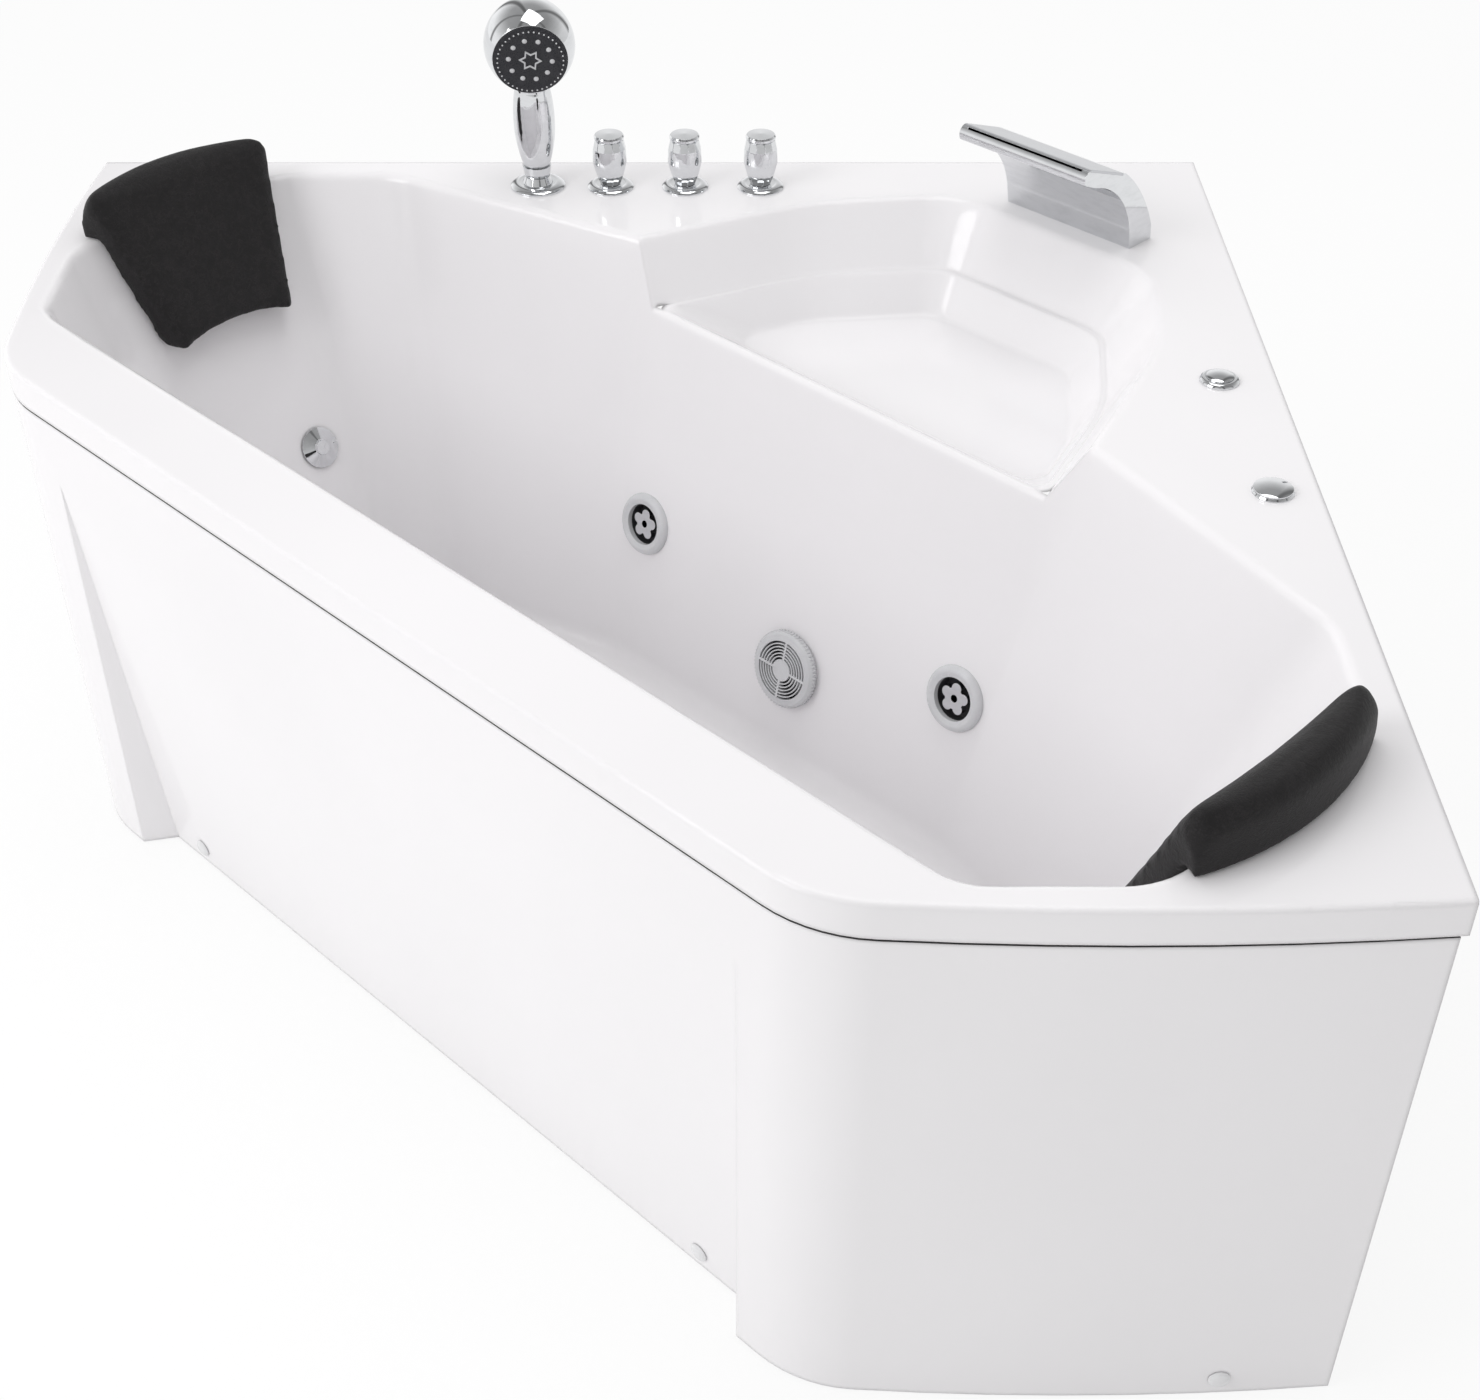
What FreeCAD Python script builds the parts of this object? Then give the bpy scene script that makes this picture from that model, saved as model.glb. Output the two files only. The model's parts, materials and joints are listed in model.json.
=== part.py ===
"""Corner bathtub with jets: acrylic shell on a steel frame, one wrap-round apron, deck fittings,
two jets with their pump, a pop-up waste and two headrest pillows.

Frame: +Z up, origin on the floor in the middle of the footprint. The two straight sides that stand
against the walls face +X and +Y and meet at the room corner. The tub is a mirror image of itself
about the diagonal through that corner, so most places are given on the diagonal: s runs along it
towards the room corner, d runs across it, positive towards the end on the -Y side.
"""
import FreeCAD, Part
import math
import os

V = FreeCAD.Vector
ROOT2 = math.sqrt(2.0)
UP = V(0, 0, 1)

# ------------------------------------------------------------------ sizes, in millimetres
# footprint and rim
side_length = 1400.0            # along each wall, over the crest of the far end
end_bulge = 11.2                # how far each end bows out
corner_to_front = 1353.0        # room corner to the front face, along the diagonal
knee_radius = 144.0             # rounding between the front and each end
rim_height = 645.0
lip_height = 37.0
lip_edge_radius = 4.0
shell_wall = 6.0                # acrylic with its glass-fibre backing

# opening and basin
floor_height = 130.0            # inside floor of the basin
front_rim = 101.0
end_rim = 32.0
side_rim = 36.0
headrest_setback = 185.0        # deck corner to the edge behind the headrest
waist_from_wall = 219.0         # the inward point beside the seat
waist_from_corner = 697.0
side_wall_turn = 15.2           # plan angle of the long side wall, off the diagonal
front_lean = 57.0               # how far each wall runs inwards from rim to floor
end_lean = 188.0
side_lean = 191.0
headrest_lean = 225.0
long_wall_lean = 140.0
seat_front_lean = 129.0
basin_corner_radius = 85.0      # between the walls at the rim
basin_foot_radius = 50.0        # between the walls at the floor
front_corner_radius = 60.0      # between the front and the ends, all the way down
floor_edge_radius = 30.0
rim_edge_radius = 11.0

# corner seat
ledge_drop = 72.0               # rim down to the seat's ledge and front ridge
seat_depth = 45.0               # ledge down to the dished seat
seat_back_setback = 286.0       # room corner to the opening behind the seat
seat_back_half = 150.0
seat_corner_turn = 51.1
seat_side_turn = 70.3
seat_corner_radius = 100.0
seat_side_radius = 350.0
ledge_corner_radius = 60.0
ledge_side_radius = 300.0
dish_corner_radius = 45.0
dish_side_radius = 160.0
dish_front_radius = 15.0        # where the dish's sides meet its front, at the ledge
dish_front_foot_radius = 30.0
seat_tuck = 90.0                # how far the seat's opening runs into the basin's
seat_side_shift = 4.0           # seat's side, past the inward point beside it
seat_back_lean = 47.0
seat_corner_lean = 50.0
seat_side_lean = 43.0
ledge_step = 6.0
dish_back_lean = 33.0
dish_corner_lean = 32.0
dish_side_lean = 28.0
dish_front_lean = 61.0
ridge_width = 8.0
ridge_radius = 7.0
dish_edge_radius = 10.0

# base board, frame and feet
board_thickness = 15.0
board_inset = 34.0
rail_size = 30.0
rail_wall = 2.0
rail_end_inset = 25.0
rail_front_inset = 55.0
rail_wall_inset = 20.0
cross_rail_places = (-180.0, -20.0, 150.0, 330.0, 447.5)
post_size = 25.0
post_wall = 2.0
post_side_place = -230.0
post_front_place = 200.0
foot_end_place = 260.0
foot_seat_place = 225.0
foot_radius = 24.0
foot_pad_height = 12.0
stud_radius = 6.0
stud_reach = 14.0               # stud above the underside of the rail
nut_across = 19.0
nut_height = 10.0

# apron
apron_wall = 4.0
apron_inset = 1.0
apron_floor_gap = 3.0
apron_lip_gap = 3.0
panel_top = 541.0               # top of the sunk front panel
panel_half = 529.0
panel_foot_half = 505.0
panel_depth = 37.0              # how deep the panel sits at the floor
screw_height = 26.0
screw_front_place = 441.0
screw_end_place = 583.0
screw_radius = 2.4
screw_head_radius = 5.0
screw_length = 16.0
cap_radius = 11.0
cap_height = 5.0
cap_facets = 28
bracket_wall = 3.0
bracket_width = 40.0

# pillows
pillow_half = 129.0             # half its length at the opening's edge
pillow_half_outer = 136.0       # and at its outer edge
pillow_half_flat = 92.0         # as far as the wall behind it is flat
pillow_end_spread = 0.38        # the ends lean apart towards its outer edge
pillow_end_flare = 0.08         # and a little towards its crest
pillow_top = rim_height + 63.0
pillow_foot = rim_height - 129.0
pillow_foot_rise = 13.0
pillow_outer_reach = 42.0       # past the opening's edge, in the middle
pillow_outer_curve = 29.0
pillow_brow = 1.5               # pad in front of the opening's edge
pillow_wrap = 9.0               # how much further forward its ends reach, round the neck
pillow_top_fall = 5.0           # how much lower the crest is at its ends
pillow_front_lean = 0.48
pillow_gap = 0.6
pillow_stud_place = 62.0
pillow_stud_radius = 4.0
pillow_stud_height = 20.0

# taps on the deck
knob_places = ((-40.0, 627.0), (53.0, 627.0), (147.0, 627.0))
knob_flange_radius = 29.0
knob_flange_height = 5.0
knob_height = 62.0
knob_radius = 21.5
knob_foot_radius = 12.5
knob_neck_radius = 18.0
knob_facets = 12
knob_cap_height = 6.0
knob_cap_radius = 18.6
spindle_radius = 6.0
valve_thread_radius = 10.5
valve_body_radius = 17.0
valve_body_height = 46.0
inlet_radius = 10.4
inlet_length = 26.0
deck_nut_height = 9.0
deck_nut_across = 34.0

# hand shower
shower_place = (-131.0, 630.0)
shower_flange_radius = 34.0
shower_flange_height = 6.0
cradle_height = 22.0
cradle_radius = 19.0
shower_plug_radius = 12.0
shower_plug_length = 15.0
shower_neck_radius = 21.5
shower_grip_radius = 25.5
shower_foot_radius = 16.0
head_height = 178.0             # centre of the head above the deck
head_radius = 55.0
face_radius = 44.5
face_offset = 32.0
face_wall = 4.0
face_tilt = 12.0                # spray face below level
face_turn = 5.6                 # spray face off -Y towards +X
nozzle_radius = 3.0
nozzle_height = 2.6
nozzle_circle = 26.0
nozzle_count = 10
star_tip_radius = 14.0
star_root_radius = 8.4
star_wall = 2.0
guide_radius = 11.0
guide_bore = 8.0
guide_length = 62.0

# waterfall spout
spout_half_width = 93.0
spout_back = 216.0              # room corner to the spout's back, along the diagonal
spout_leg = 41.0
spout_cheek = 9.0
spout_plate = 3.0
spout_slot = 2.5
spout_tail_radius = 13.0
spout_tail_bore = 9.5
spout_tail_length = 70.0

# pump button and air control
button_place = (637.0, 136.0)
button_bezel_radius = 21.5
button_bezel_height = 5.0
button_radius = 15.0
button_travel = 3.0
button_barrel_radius = 18.0
button_barrel_length = 46.0
button_stem_radius = 5.0
air_place = (652.0, -88.0)
air_ring_radius = 21.5
air_ring_height = 3.0
air_dial_radius = 20.0
air_dial_height = 5.0
air_barrel_radius = 14.0
air_barrel_length = 44.0
air_stem_radius = 5.0

# jets and suction
jet_place = 255.0
jet_height = 317.0
jet_flange_radius = 39.0
jet_flange_height = 8.0
jet_barrel_radius = 28.0
jet_barrel_length = 58.0
jet_cup_radius = 25.5
jet_cup_depth = 14.0
jet_hub_radius = 10.0
jet_hub_length = 8.0
jet_tail_length = 8.0
jet_air_place = 32.0            # air inlet behind the wall's face
jet_lobe_radius = 6.6
jet_lobe_circle = 12.5
jet_lobes = 5
jet_nut_height = 9.0
suction_place = 14.0
suction_height = 243.0
suction_radius = 47.0
suction_cover_height = 15.0
suction_hub_radius = 13.0
suction_rings = 6
suction_slot = 2.6
suction_barrel_radius = 29.0
suction_barrel_length = 52.0

# waste and overflow
overflow_place = 61.0
overflow_height = 339.0
overflow_cap_radius = 26.0
overflow_cap_height = 11.0
overflow_barrel_radius = 23.0
overflow_barrel_length = 45.0
overflow_stem_radius = 4.0
drain_place = 450.0
drain_flange_radius = 35.0
drain_plug_radius = 25.0
drain_barrel_radius = 23.0
drain_stem_radius = 4.0
drain_bore = 19.0
drain_stem_length = 34.0
trap_radius = 33.0
trap_wall = 4.0
trap_bottom = 22.0
trap_top = 108.0
spigot_length = 8.0
waste_pipe_radius = 20.0
waste_pipe_height = 46.0
waste_collar_radius = 24.0
waste_collar_reach = 18.0       # of the outlet's thick root, past the trap
overflow_entry_height = 80.0
waste_reach = 25.0              # end of the waste pipe short of the wall

# pump and pipes
pump_bend_place = 318.0         # where the suction's slanting pipe turns level
pump_inlet_place = 340.0
pump_place = 440.0              # joint between the wet end and the motor
motor_radius = 62.0
motor_length = 190.0
volute_radius = 66.0
volute_length = 62.0
motor_chamfer = 8.0
motor_fins = 16
fin_height = 4.0
pump_foot_wall = 6.0
pump_outlet_rise = 34.0         # pump outlet up to the pipe's bend
pipe_radius = 20.0
pipe_wall = 3.0
jet_pipe_radius = 16.0
jet_pipe_set = 88.0             # from the wall to the pipe behind the jets
jet_run_step = 2.0              # the pipe behind the jets is this much wider than its feed
air_pipe_radius = 8.0
air_pipe_set = 64.0             # from the jets' middle up along the wall
air_tube_radius = 3.0
switch_length = 92.0
switch_width = 46.0
switch_height = 34.0
gland_radius = 9.0              # cable gland on the switch box
gland_length = 14.0
air_turn_place = 420.0          # where the air pipe turns along the seat
air_step_height = 572.0         # where it slants in, above the frame's side window
air_step_in = 60.0
hose_tail = 12.0             # hose tail under the button and the air control

# clearances
part_gap = 0.3                  # between solids that lie against each other
turn_gap = 0.25                 # round a turning or sliding stem
hole_gap = 0.5                  # round a barrel in its hole

# ------------------------------------------------------------------ places worked out from the sizes
half = side_length / 2.0
room_s = half * ROOT2
front_s = room_s - corner_to_front
lip_foot = rim_height - lip_height
deck_under = rim_height - shell_wall
ledge_height = rim_height - ledge_drop
seat_height = ledge_height - seat_depth
basin_depth = rim_height - floor_height
board_top = floor_height - shell_wall
rail_top = board_top - board_thickness
rail_foot = rail_top - rail_size
deck_corner_d = (half + half - end_bulge) / ROOT2
far_reach = 2.0 * side_length

nodes = {}


def add(name, *solids):
    """Keep one named piece, or one group of alike solids."""
    nodes[name] = solids[0] if len(solids) == 1 else Part.makeCompound(list(solids))


def at(s, d, z=0.0):
    """Point from the diagonal's own coordinates."""
    return V((s + d) / ROOT2, (s - d) / ROOT2, z)


def mirrored(shape):
    """The same piece on the other side of the diagonal."""
    return shape.mirror(V(0, 0, 0), V(1, -1, 0))


def line(a, b):
    return Part.LineSegment(a, b).toShape()


def arc(a, middle, b):
    return Part.Arc(a, middle, b).toShape()


def polygon_wire(points):
    return Part.makePolygon(list(points) + [points[0]])


def outward(solid):
    """The same solid with its faces looking outwards."""
    return solid if solid.Volume > 0 else solid.reversed()


def solid_between(faces):
    """Flat-sided solid from the corner points of its faces."""
    shell = Part.makeShell([Part.Face(polygon_wire(face)) for face in faces])
    shell.sewShape()
    return outward(Part.makeSolid(shell))


def turned(profile, inner=0.0):
    """Solid of revolution about Z from (radius, z) points; a 4-value entry is an arc's middle and end."""
    edges = []
    start = V(profile[0][0], 0, profile[0][1])
    first = start
    for entry in profile[1:]:
        end = V(entry[-2], 0, entry[-1])
        if len(entry) == 4:
            edges.append(arc(start, V(entry[0], 0, entry[1]), end))
        else:
            edges.append(line(start, end))
        start = end
    edges.append(line(start, first))
    body = outward(Part.Face(Part.Wire(edges)).revolve(V(0, 0, 0), UP, 360))
    return body.cut(rod(inner, -far_reach, far_reach)) if inner > 0 else body


def dome(radius, low, high):
    """Last entry of a turned profile: a shallow dome from a radius up to the axis."""
    rise = high - low
    ball = (radius ** 2 + rise ** 2) / (2 * rise)
    half_angle = math.asin(radius / ball) / 2.0
    return (ball * math.sin(half_angle), high - ball + ball * math.cos(half_angle), 0, high)


def rod(radius, low, high, x=0.0, y=0.0):
    return Part.makeCylinder(radius, high - low, V(x, y, low))


def ring(outer, inner, low, high):
    return rod(outer, low, high).cut(rod(inner, low - 1, high + 1))


def faceted(heights_and_radii, facets):
    """Barrel with flat facets through rings of points."""
    wires = []
    for z, radius in heights_and_radii:
        points = [V(radius * math.cos(2 * math.pi * k / facets), radius * math.sin(2 * math.pi * k / facets), z)
                  for k in range(facets)]
        wires.append(polygon_wire(points))
    return Part.makeLoft(wires, True, True)


def hexagon(across, low, high, bore):
    """Hexagon nut about Z."""
    corner = across / math.sqrt(3.0)
    points = [V(corner * math.cos(math.radians(60 * k)), corner * math.sin(math.radians(60 * k)), low)
              for k in range(6)]
    return Part.Face(polygon_wire(points)).extrude(V(0, 0, high - low)).cut(rod(bore, low - 1, high + 1))


def block(x0, x1, y0, y1, z0, z1):
    return Part.makeBox(x1 - x0, y1 - y0, z1 - z0, V(x0, y0, z0))


def placed(shape, origin, axis=UP, turn=0.0):
    """Turn a piece made about Z, lay its Z along an axis and move it to its origin."""
    copy = shape.copy()
    rotation = FreeCAD.Rotation(UP, axis).multiply(FreeCAD.Rotation(UP, turn))
    copy.Placement = FreeCAD.Placement(origin, rotation).multiply(copy.Placement)
    return copy


def on_deck(shape, place, turn=0.0):
    return placed(shape, V(place[0], place[1], rim_height), UP, turn)


def route_wire(points, bend):
    """Straight runs joined by tangent arcs."""
    edges = []
    start = points[0]
    for before, corner, after in zip(points, points[1:], points[2:]):
        come = (before - corner).normalize()
        go = (after - corner).normalize()
        half_turn = (math.pi - come.getAngle(go)) / 2.0
        back = bend * math.tan(half_turn)
        enter = corner + come * back
        leave = corner + go * back
        centre = corner + (come + go).normalize() * (bend / math.cos(half_turn))
        middle = centre + (corner - centre).normalize() * bend
        edges.append(line(start, enter))
        edges.append(arc(enter, middle, leave))
        start = leave
    edges.append(line(start, points[-1]))
    return Part.Wire(edges)


def tube(points, radius, bend, wall=0.0):
    """Round pipe along a route, hollow when it has a wall."""
    path = route_wire(points, bend)

    def swept(size):
        heading = points[1] - points[0]
        circle = Part.Wire([Part.makeCircle(size, points[0], heading)])
        return path.makePipeShell([circle], True, False)

    return swept(radius).cut(swept(radius - wall)) if wall > 0 else swept(radius)


# ------------------------------------------------------------------ outlines made of walls
def wall_line(angle, distance, lean, radius_top, radius_foot):
    """One wall in plan: its outward angle off +s, its distance, its lean and the corner after it."""
    return (V(math.cos(math.radians(angle)), math.sin(math.radians(angle)), 0), distance, lean,
            radius_top, radius_foot)


def reach(angle, s, d):
    """Distance of the wall with this outward angle that passes through a point."""
    return s * math.cos(math.radians(angle)) + d * math.sin(math.radians(angle))


def meeting(first, first_distance, second, second_distance):
    span = first.x * second.y - first.y * second.x
    return ((first_distance * second.y - second_distance * first.y) / span,
            (second_distance * first.x - first_distance * second.x) / span)


def outline(walls, fall, z, grow=0.0):
    """Closed wire through the walls, at a share of their fall from top (0) to foot (1)."""
    corners = []
    for here, after in zip(walls, walls[1:] + walls[:1]):
        radius = here[3] + (here[4] - here[3]) * fall
        if radius > 0:
            radius += grow
        near = here[1] - here[2] * fall + grow - radius
        far = after[1] - after[2] * fall + grow - radius
        s, d = meeting(here[0], near, after[0], far)
        bisector = (here[0] + after[0]).normalize()
        corners.append([at(s + way.x * radius, d + way.y * radius, z)
                        for way in (here[0], bisector, after[0])] + [radius])
    edges = []
    for before, corner in zip(corners[-1:] + corners[:-1], corners):
        edges.append(line(before[2], corner[0]))
        if corner[3] > 0:
            edges.append(arc(corner[0], corner[1], corner[2]))
    return Part.Wire(edges)


def between(walls, top, foot, high, low, grow=0.0):
    """Solid inside leaning walls that run from top to foot, cut off at two heights."""
    depth = top - foot
    wires = [outline(walls, (top - z) / depth, z, grow) for z in (high, low)]
    return Part.makeLoft(wires, True, True)


def both_sides(one_side, middle_first, middle_last):
    """Walls in order round the diagonal: the middle one, one side, the far middle one, the mirror."""
    other = []
    for index in range(len(one_side) - 1, -1, -1):
        angle, distance, lean, _, _ = one_side[index]
        source = one_side[index - 1] if index > 0 else middle_first
        other.append((-angle, distance, lean, source[3], source[4]))
    last = middle_last[:3] + one_side[-1][3:]
    return [wall_line(*wall) for wall in [middle_first] + one_side + [last] + other]


waist_s = (half - waist_from_wall + half - waist_from_corner) / ROOT2
waist_d = (half - waist_from_wall - half + waist_from_corner) / ROOT2
headrest_d = deck_corner_d - headrest_setback
seat_back_s = room_s - seat_back_setback

basin_walls = both_sides(
    [(side_wall_turn, reach(side_wall_turn, waist_s, waist_d), long_wall_lean,
      basin_corner_radius, basin_foot_radius),
     (45.0, half - side_rim, side_lean, basin_corner_radius, basin_foot_radius),
     (90.0, headrest_d, headrest_lean, basin_corner_radius, basin_foot_radius),
     (135.0, half - end_rim, end_lean, front_corner_radius, front_corner_radius)],
    (0.0, waist_s, seat_front_lean, 0.0, 0.0),
    (180.0, -(front_s + front_rim), front_lean, 0.0, 0.0))

ridge_s = waist_s - seat_front_lean * ledge_drop / basin_depth
seat_corner_reach = reach(seat_corner_turn, seat_back_s, seat_back_half)
seat_side_reach = reach(seat_side_turn, waist_s, waist_d + seat_side_shift)
seat_walls = both_sides(
    [(seat_corner_turn, seat_corner_reach, seat_corner_lean, seat_side_radius, ledge_side_radius),
     (seat_side_turn, seat_side_reach, seat_side_lean, 0.0, 0.0)],
    (0.0, seat_back_s, seat_back_lean, seat_corner_radius, ledge_corner_radius),
    (180.0, seat_tuck - waist_s, 0.0, 0.0, 0.0))
dish_walls = both_sides(
    [(seat_corner_turn, seat_corner_reach - seat_corner_lean - ledge_step, dish_corner_lean,
      ledge_side_radius, dish_side_radius),
     (seat_side_turn, seat_side_reach - seat_side_lean - ledge_step, dish_side_lean,
      dish_front_radius, dish_front_foot_radius)],
    (0.0, seat_back_s - seat_back_lean - ledge_step, dish_back_lean,
     ledge_corner_radius, dish_corner_radius),
    (180.0, -(ridge_s + ridge_width), dish_front_lean, 0.0, 0.0))


# ------------------------------------------------------------------ footprint solids
def footprint(end_in, front_in, wall_in, low, high):
    """Prism with the tub's plan, drawn in at the ends, the front and the walls."""
    wall = half - wall_in
    chord = end_bulge - half + end_in
    crest = end_in - half
    knee = (front_s + front_in) * ROOT2 - chord
    middle = (wall + knee) / 2.0
    edges = [line(V(wall, wall, low), V(chord, wall, low)),
             arc(V(chord, wall, low), V(crest, middle, low), V(chord, knee, low)),
             line(V(chord, knee, low), V(knee, chord, low)),
             arc(V(knee, chord, low), V(middle, crest, low), V(wall, chord, low)),
             line(V(wall, chord, low), V(wall, wall, low))]
    prism = Part.Face(Part.Wire(edges)).extrude(V(0, 0, high - low))
    knees = [edge for edge in prism.Edges if len(edge.Vertexes) == 2
             and abs(edge.Vertexes[0].Point.z - edge.Vertexes[1].Point.z) > 1
             and abs(edge.Vertexes[0].Point.x + edge.Vertexes[0].Point.y - chord - knee) < 1]
    return prism.makeFillet(knee_radius - (end_in + front_in) / 2.0, knees)


def edges_where(shape, test):
    """Edges whose every sampled point passes a test."""
    chosen = []
    for edge in shape.Edges:
        first, last = edge.ParameterRange
        points = [edge.valueAt(first + (last - first) * share) for share in (0.0, 0.5, 1.0)]
        if all(test(point) for point in points):
            chosen.append(edge)
    return chosen


def level_edges(shape, z):
    return edges_where(shape, lambda point: abs(point.z - z) < 0.01)


# ------------------------------------------------------------------ places on the leaning walls
seat_slope = seat_front_lean / basin_depth
seat_normal = (at(-1.0, 0.0) + UP * seat_slope).normalize()
headrest_slope = headrest_lean / basin_depth
overflow_normal = (at(0.0, 1.0) + UP * headrest_slope).normalize()


def seat_front_point(d, z):
    return at(waist_s - seat_slope * (rim_height - z), d, z)


overflow_point = at(overflow_place, headrest_slope * (rim_height - overflow_height) - headrest_d,
                    overflow_height)
seat_wall_thick = shell_wall * math.cos(math.atan(seat_slope))
head_wall_thick = shell_wall * math.cos(math.atan(headrest_slope))
jet_points = [seat_front_point(side * jet_place, jet_height) for side in (-1.0, 1.0)]
suction_point = seat_front_point(suction_place, suction_height)
drain_point = at(overflow_place, -drain_place, floor_height)
spout_back_s = room_s - spout_back
spout_tail_s = spout_back_s - spout_leg / 2.0
pillow_studs_at = [at(side * pillow_stud_place, headrest_d + pillow_outer_reach / 2.0 + 2.0, deck_under)
                   for side in (-1.0, 1.0)]


# ------------------------------------------------------------------ shell
def make_shell():
    rim = footprint(0, 0, 0, lip_foot, rim_height)
    outer_edges = edges_where(rim, lambda p: abs(p.z - rim_height) < 0.01
                              and not (abs(p.x - half) < 0.01 or abs(p.y - half) < 0.01))
    rim = rim.makeFillet(lip_edge_radius, outer_edges)
    rim = rim.cut(footprint(shell_wall, shell_wall, shell_wall, lip_foot - 1, deck_under))
    skin_top = rim_height - shell_wall / 2.0
    basin_skin = between(basin_walls, rim_height, floor_height, skin_top, board_top, shell_wall)
    seat_skin = between(seat_walls, rim_height, ledge_height, skin_top, ledge_height, shell_wall)
    dish_skin = between(dish_walls, ledge_height, seat_height, ledge_height, seat_height - shell_wall,
                        shell_wall + ledge_step)
    body = rim.fuse([basin_skin, seat_skin, dish_skin])
    basin = between(basin_walls, rim_height, floor_height, rim_height + 1, floor_height)
    basin = basin.makeFillet(floor_edge_radius, level_edges(basin, floor_height))
    seat = between(seat_walls, rim_height, ledge_height, rim_height + 1, ledge_height)
    dish = between(dish_walls, ledge_height, seat_height, ledge_height, seat_height)
    dish = dish.makeFillet(dish_edge_radius, level_edges(dish, seat_height))
    room = basin.fuse([seat, dish]).removeSplitter()
    body = body.cut(room)
    return body


def shell_holes():
    holes = [on_deck(rod(valve_thread_radius + hole_gap, -shell_wall - 1, 1), place)
             for place in knob_places]
    holes.append(on_deck(rod(guide_radius + hole_gap, -shell_wall - 1, 1), shower_place))
    holes.append(on_deck(rod(button_barrel_radius + hole_gap, -shell_wall - 1, 1), button_place))
    holes.append(on_deck(rod(air_barrel_radius + hole_gap, -shell_wall - 1, 1), air_place))
    spout_hole = rod(spout_tail_radius + hole_gap, -shell_wall - 1, 1)
    holes.append(placed(spout_hole, at(spout_tail_s, 0, rim_height)))
    wall_hole = rod(jet_barrel_radius + hole_gap, -2 * shell_wall, shell_wall)
    holes += [placed(wall_hole, point, seat_normal) for point in jet_points]
    suction_hole = rod(suction_barrel_radius + hole_gap, -2 * shell_wall, shell_wall)
    holes.append(placed(suction_hole, suction_point, seat_normal))
    overflow_hole = rod(overflow_barrel_radius + hole_gap, -2 * shell_wall, shell_wall)
    holes.append(placed(overflow_hole, overflow_point, overflow_normal))
    holes.append(placed(rod(drain_barrel_radius + hole_gap, -2 * shell_wall, 1), drain_point))
    for point in pillow_studs_at:
        hole = placed(rod(pillow_stud_radius + turn_gap, -1, shell_wall + 1), point)
        holes += [hole, mirrored(hole)]
    return holes


def rounded(shape, radius, test):
    """Fillet the edges that pass a test."""
    return shape.makeFillet(radius, edges_where(shape, test))


deck_plan = footprint(lip_edge_radius + 1, lip_edge_radius + 1, 1, lip_foot, rim_height + 1)


def opening_edge(point):
    return abs(point.z - rim_height) < 0.01 and deck_plan.isInside(point, 0.01, False)


def ridge_edge(point):
    return abs(point.z - ledge_height) < 0.01 and abs((point.x + point.y) / ROOT2 - ridge_s) < 0.5


shell = make_shell()
shell = rounded(shell, ridge_radius, ridge_edge)
shell = rounded(shell, rim_edge_radius, opening_edge)
add("tub_shell", shell.cut(shell_holes()))

board = between(basin_walls, rim_height, floor_height, board_top, rail_top, -board_inset)
add("base_board", board.cut(placed(rod(trap_radius + 2, -far_reach, far_reach), drain_point)))


# ------------------------------------------------------------------ frame and feet
def rail_ring(shrink, low, high):
    """One continuous rail under the tub's outline; shrink makes the bore of the tube."""
    outer = footprint(rail_end_inset + shrink, rail_front_inset + shrink, rail_wall_inset + shrink, low, high)
    inner_in = rail_size - shrink
    return outer.cut(footprint(rail_end_inset + inner_in, rail_front_inset + inner_in,
                               rail_wall_inset + inner_in, low - 1, high + 1))


def cross_rail(s, shrink):
    width = rail_size / 2.0 - shrink
    bar = block(-far_reach, far_reach, -width, width, rail_foot + shrink, rail_top - shrink)
    return placed(bar, at(s, 0.0), UP, -45.0)


end_knee = front_s * ROOT2 + half - end_bulge
end_middle = (half + end_knee) / 2.0
end_bow = (((half - end_knee) / 2.0) ** 2 + end_bulge ** 2) / (2 * end_bulge)


def end_face(place, inset):
    """Distance of the bowed end's face from the middle, at a place along it."""
    return half - inset - end_bow + math.sqrt(end_bow ** 2 - (place - end_middle) ** 2)


wall_line_place = half - rail_wall_inset - rail_size / 2.0
rail_middle_inset = rail_end_inset + rail_size / 2.0
corner_post_place = -end_face(wall_line_place, rail_middle_inset)
end_foot_place = -end_face(foot_end_place, rail_middle_inset)
front_rail_s = front_s + rail_front_inset + rail_size / 2.0
post_places = [V(wall_line_place, wall_line_place, 0),
               V(corner_post_place, wall_line_place, 0),
               V(wall_line_place, corner_post_place, 0),
               V(post_side_place, wall_line_place, 0),
               V(wall_line_place, post_side_place, 0)]
front_post_places = [at(front_rail_s, -post_front_place), at(front_rail_s, post_front_place)]
foot_places = post_places[:3] + front_post_places + [
    V(end_foot_place, foot_end_place, 0), V(foot_end_place, end_foot_place, 0),
    at(cross_rail_places[2], 0.0), at(cross_rail_places[3], -foot_seat_place),
    at(cross_rail_places[3], foot_seat_place)]


def post(place, turn, shrink):
    width = post_size / 2.0 - shrink
    return placed(block(-width, width, -width, width, rail_top - shrink - 1, deck_under),
                  place, UP, turn)


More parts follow.
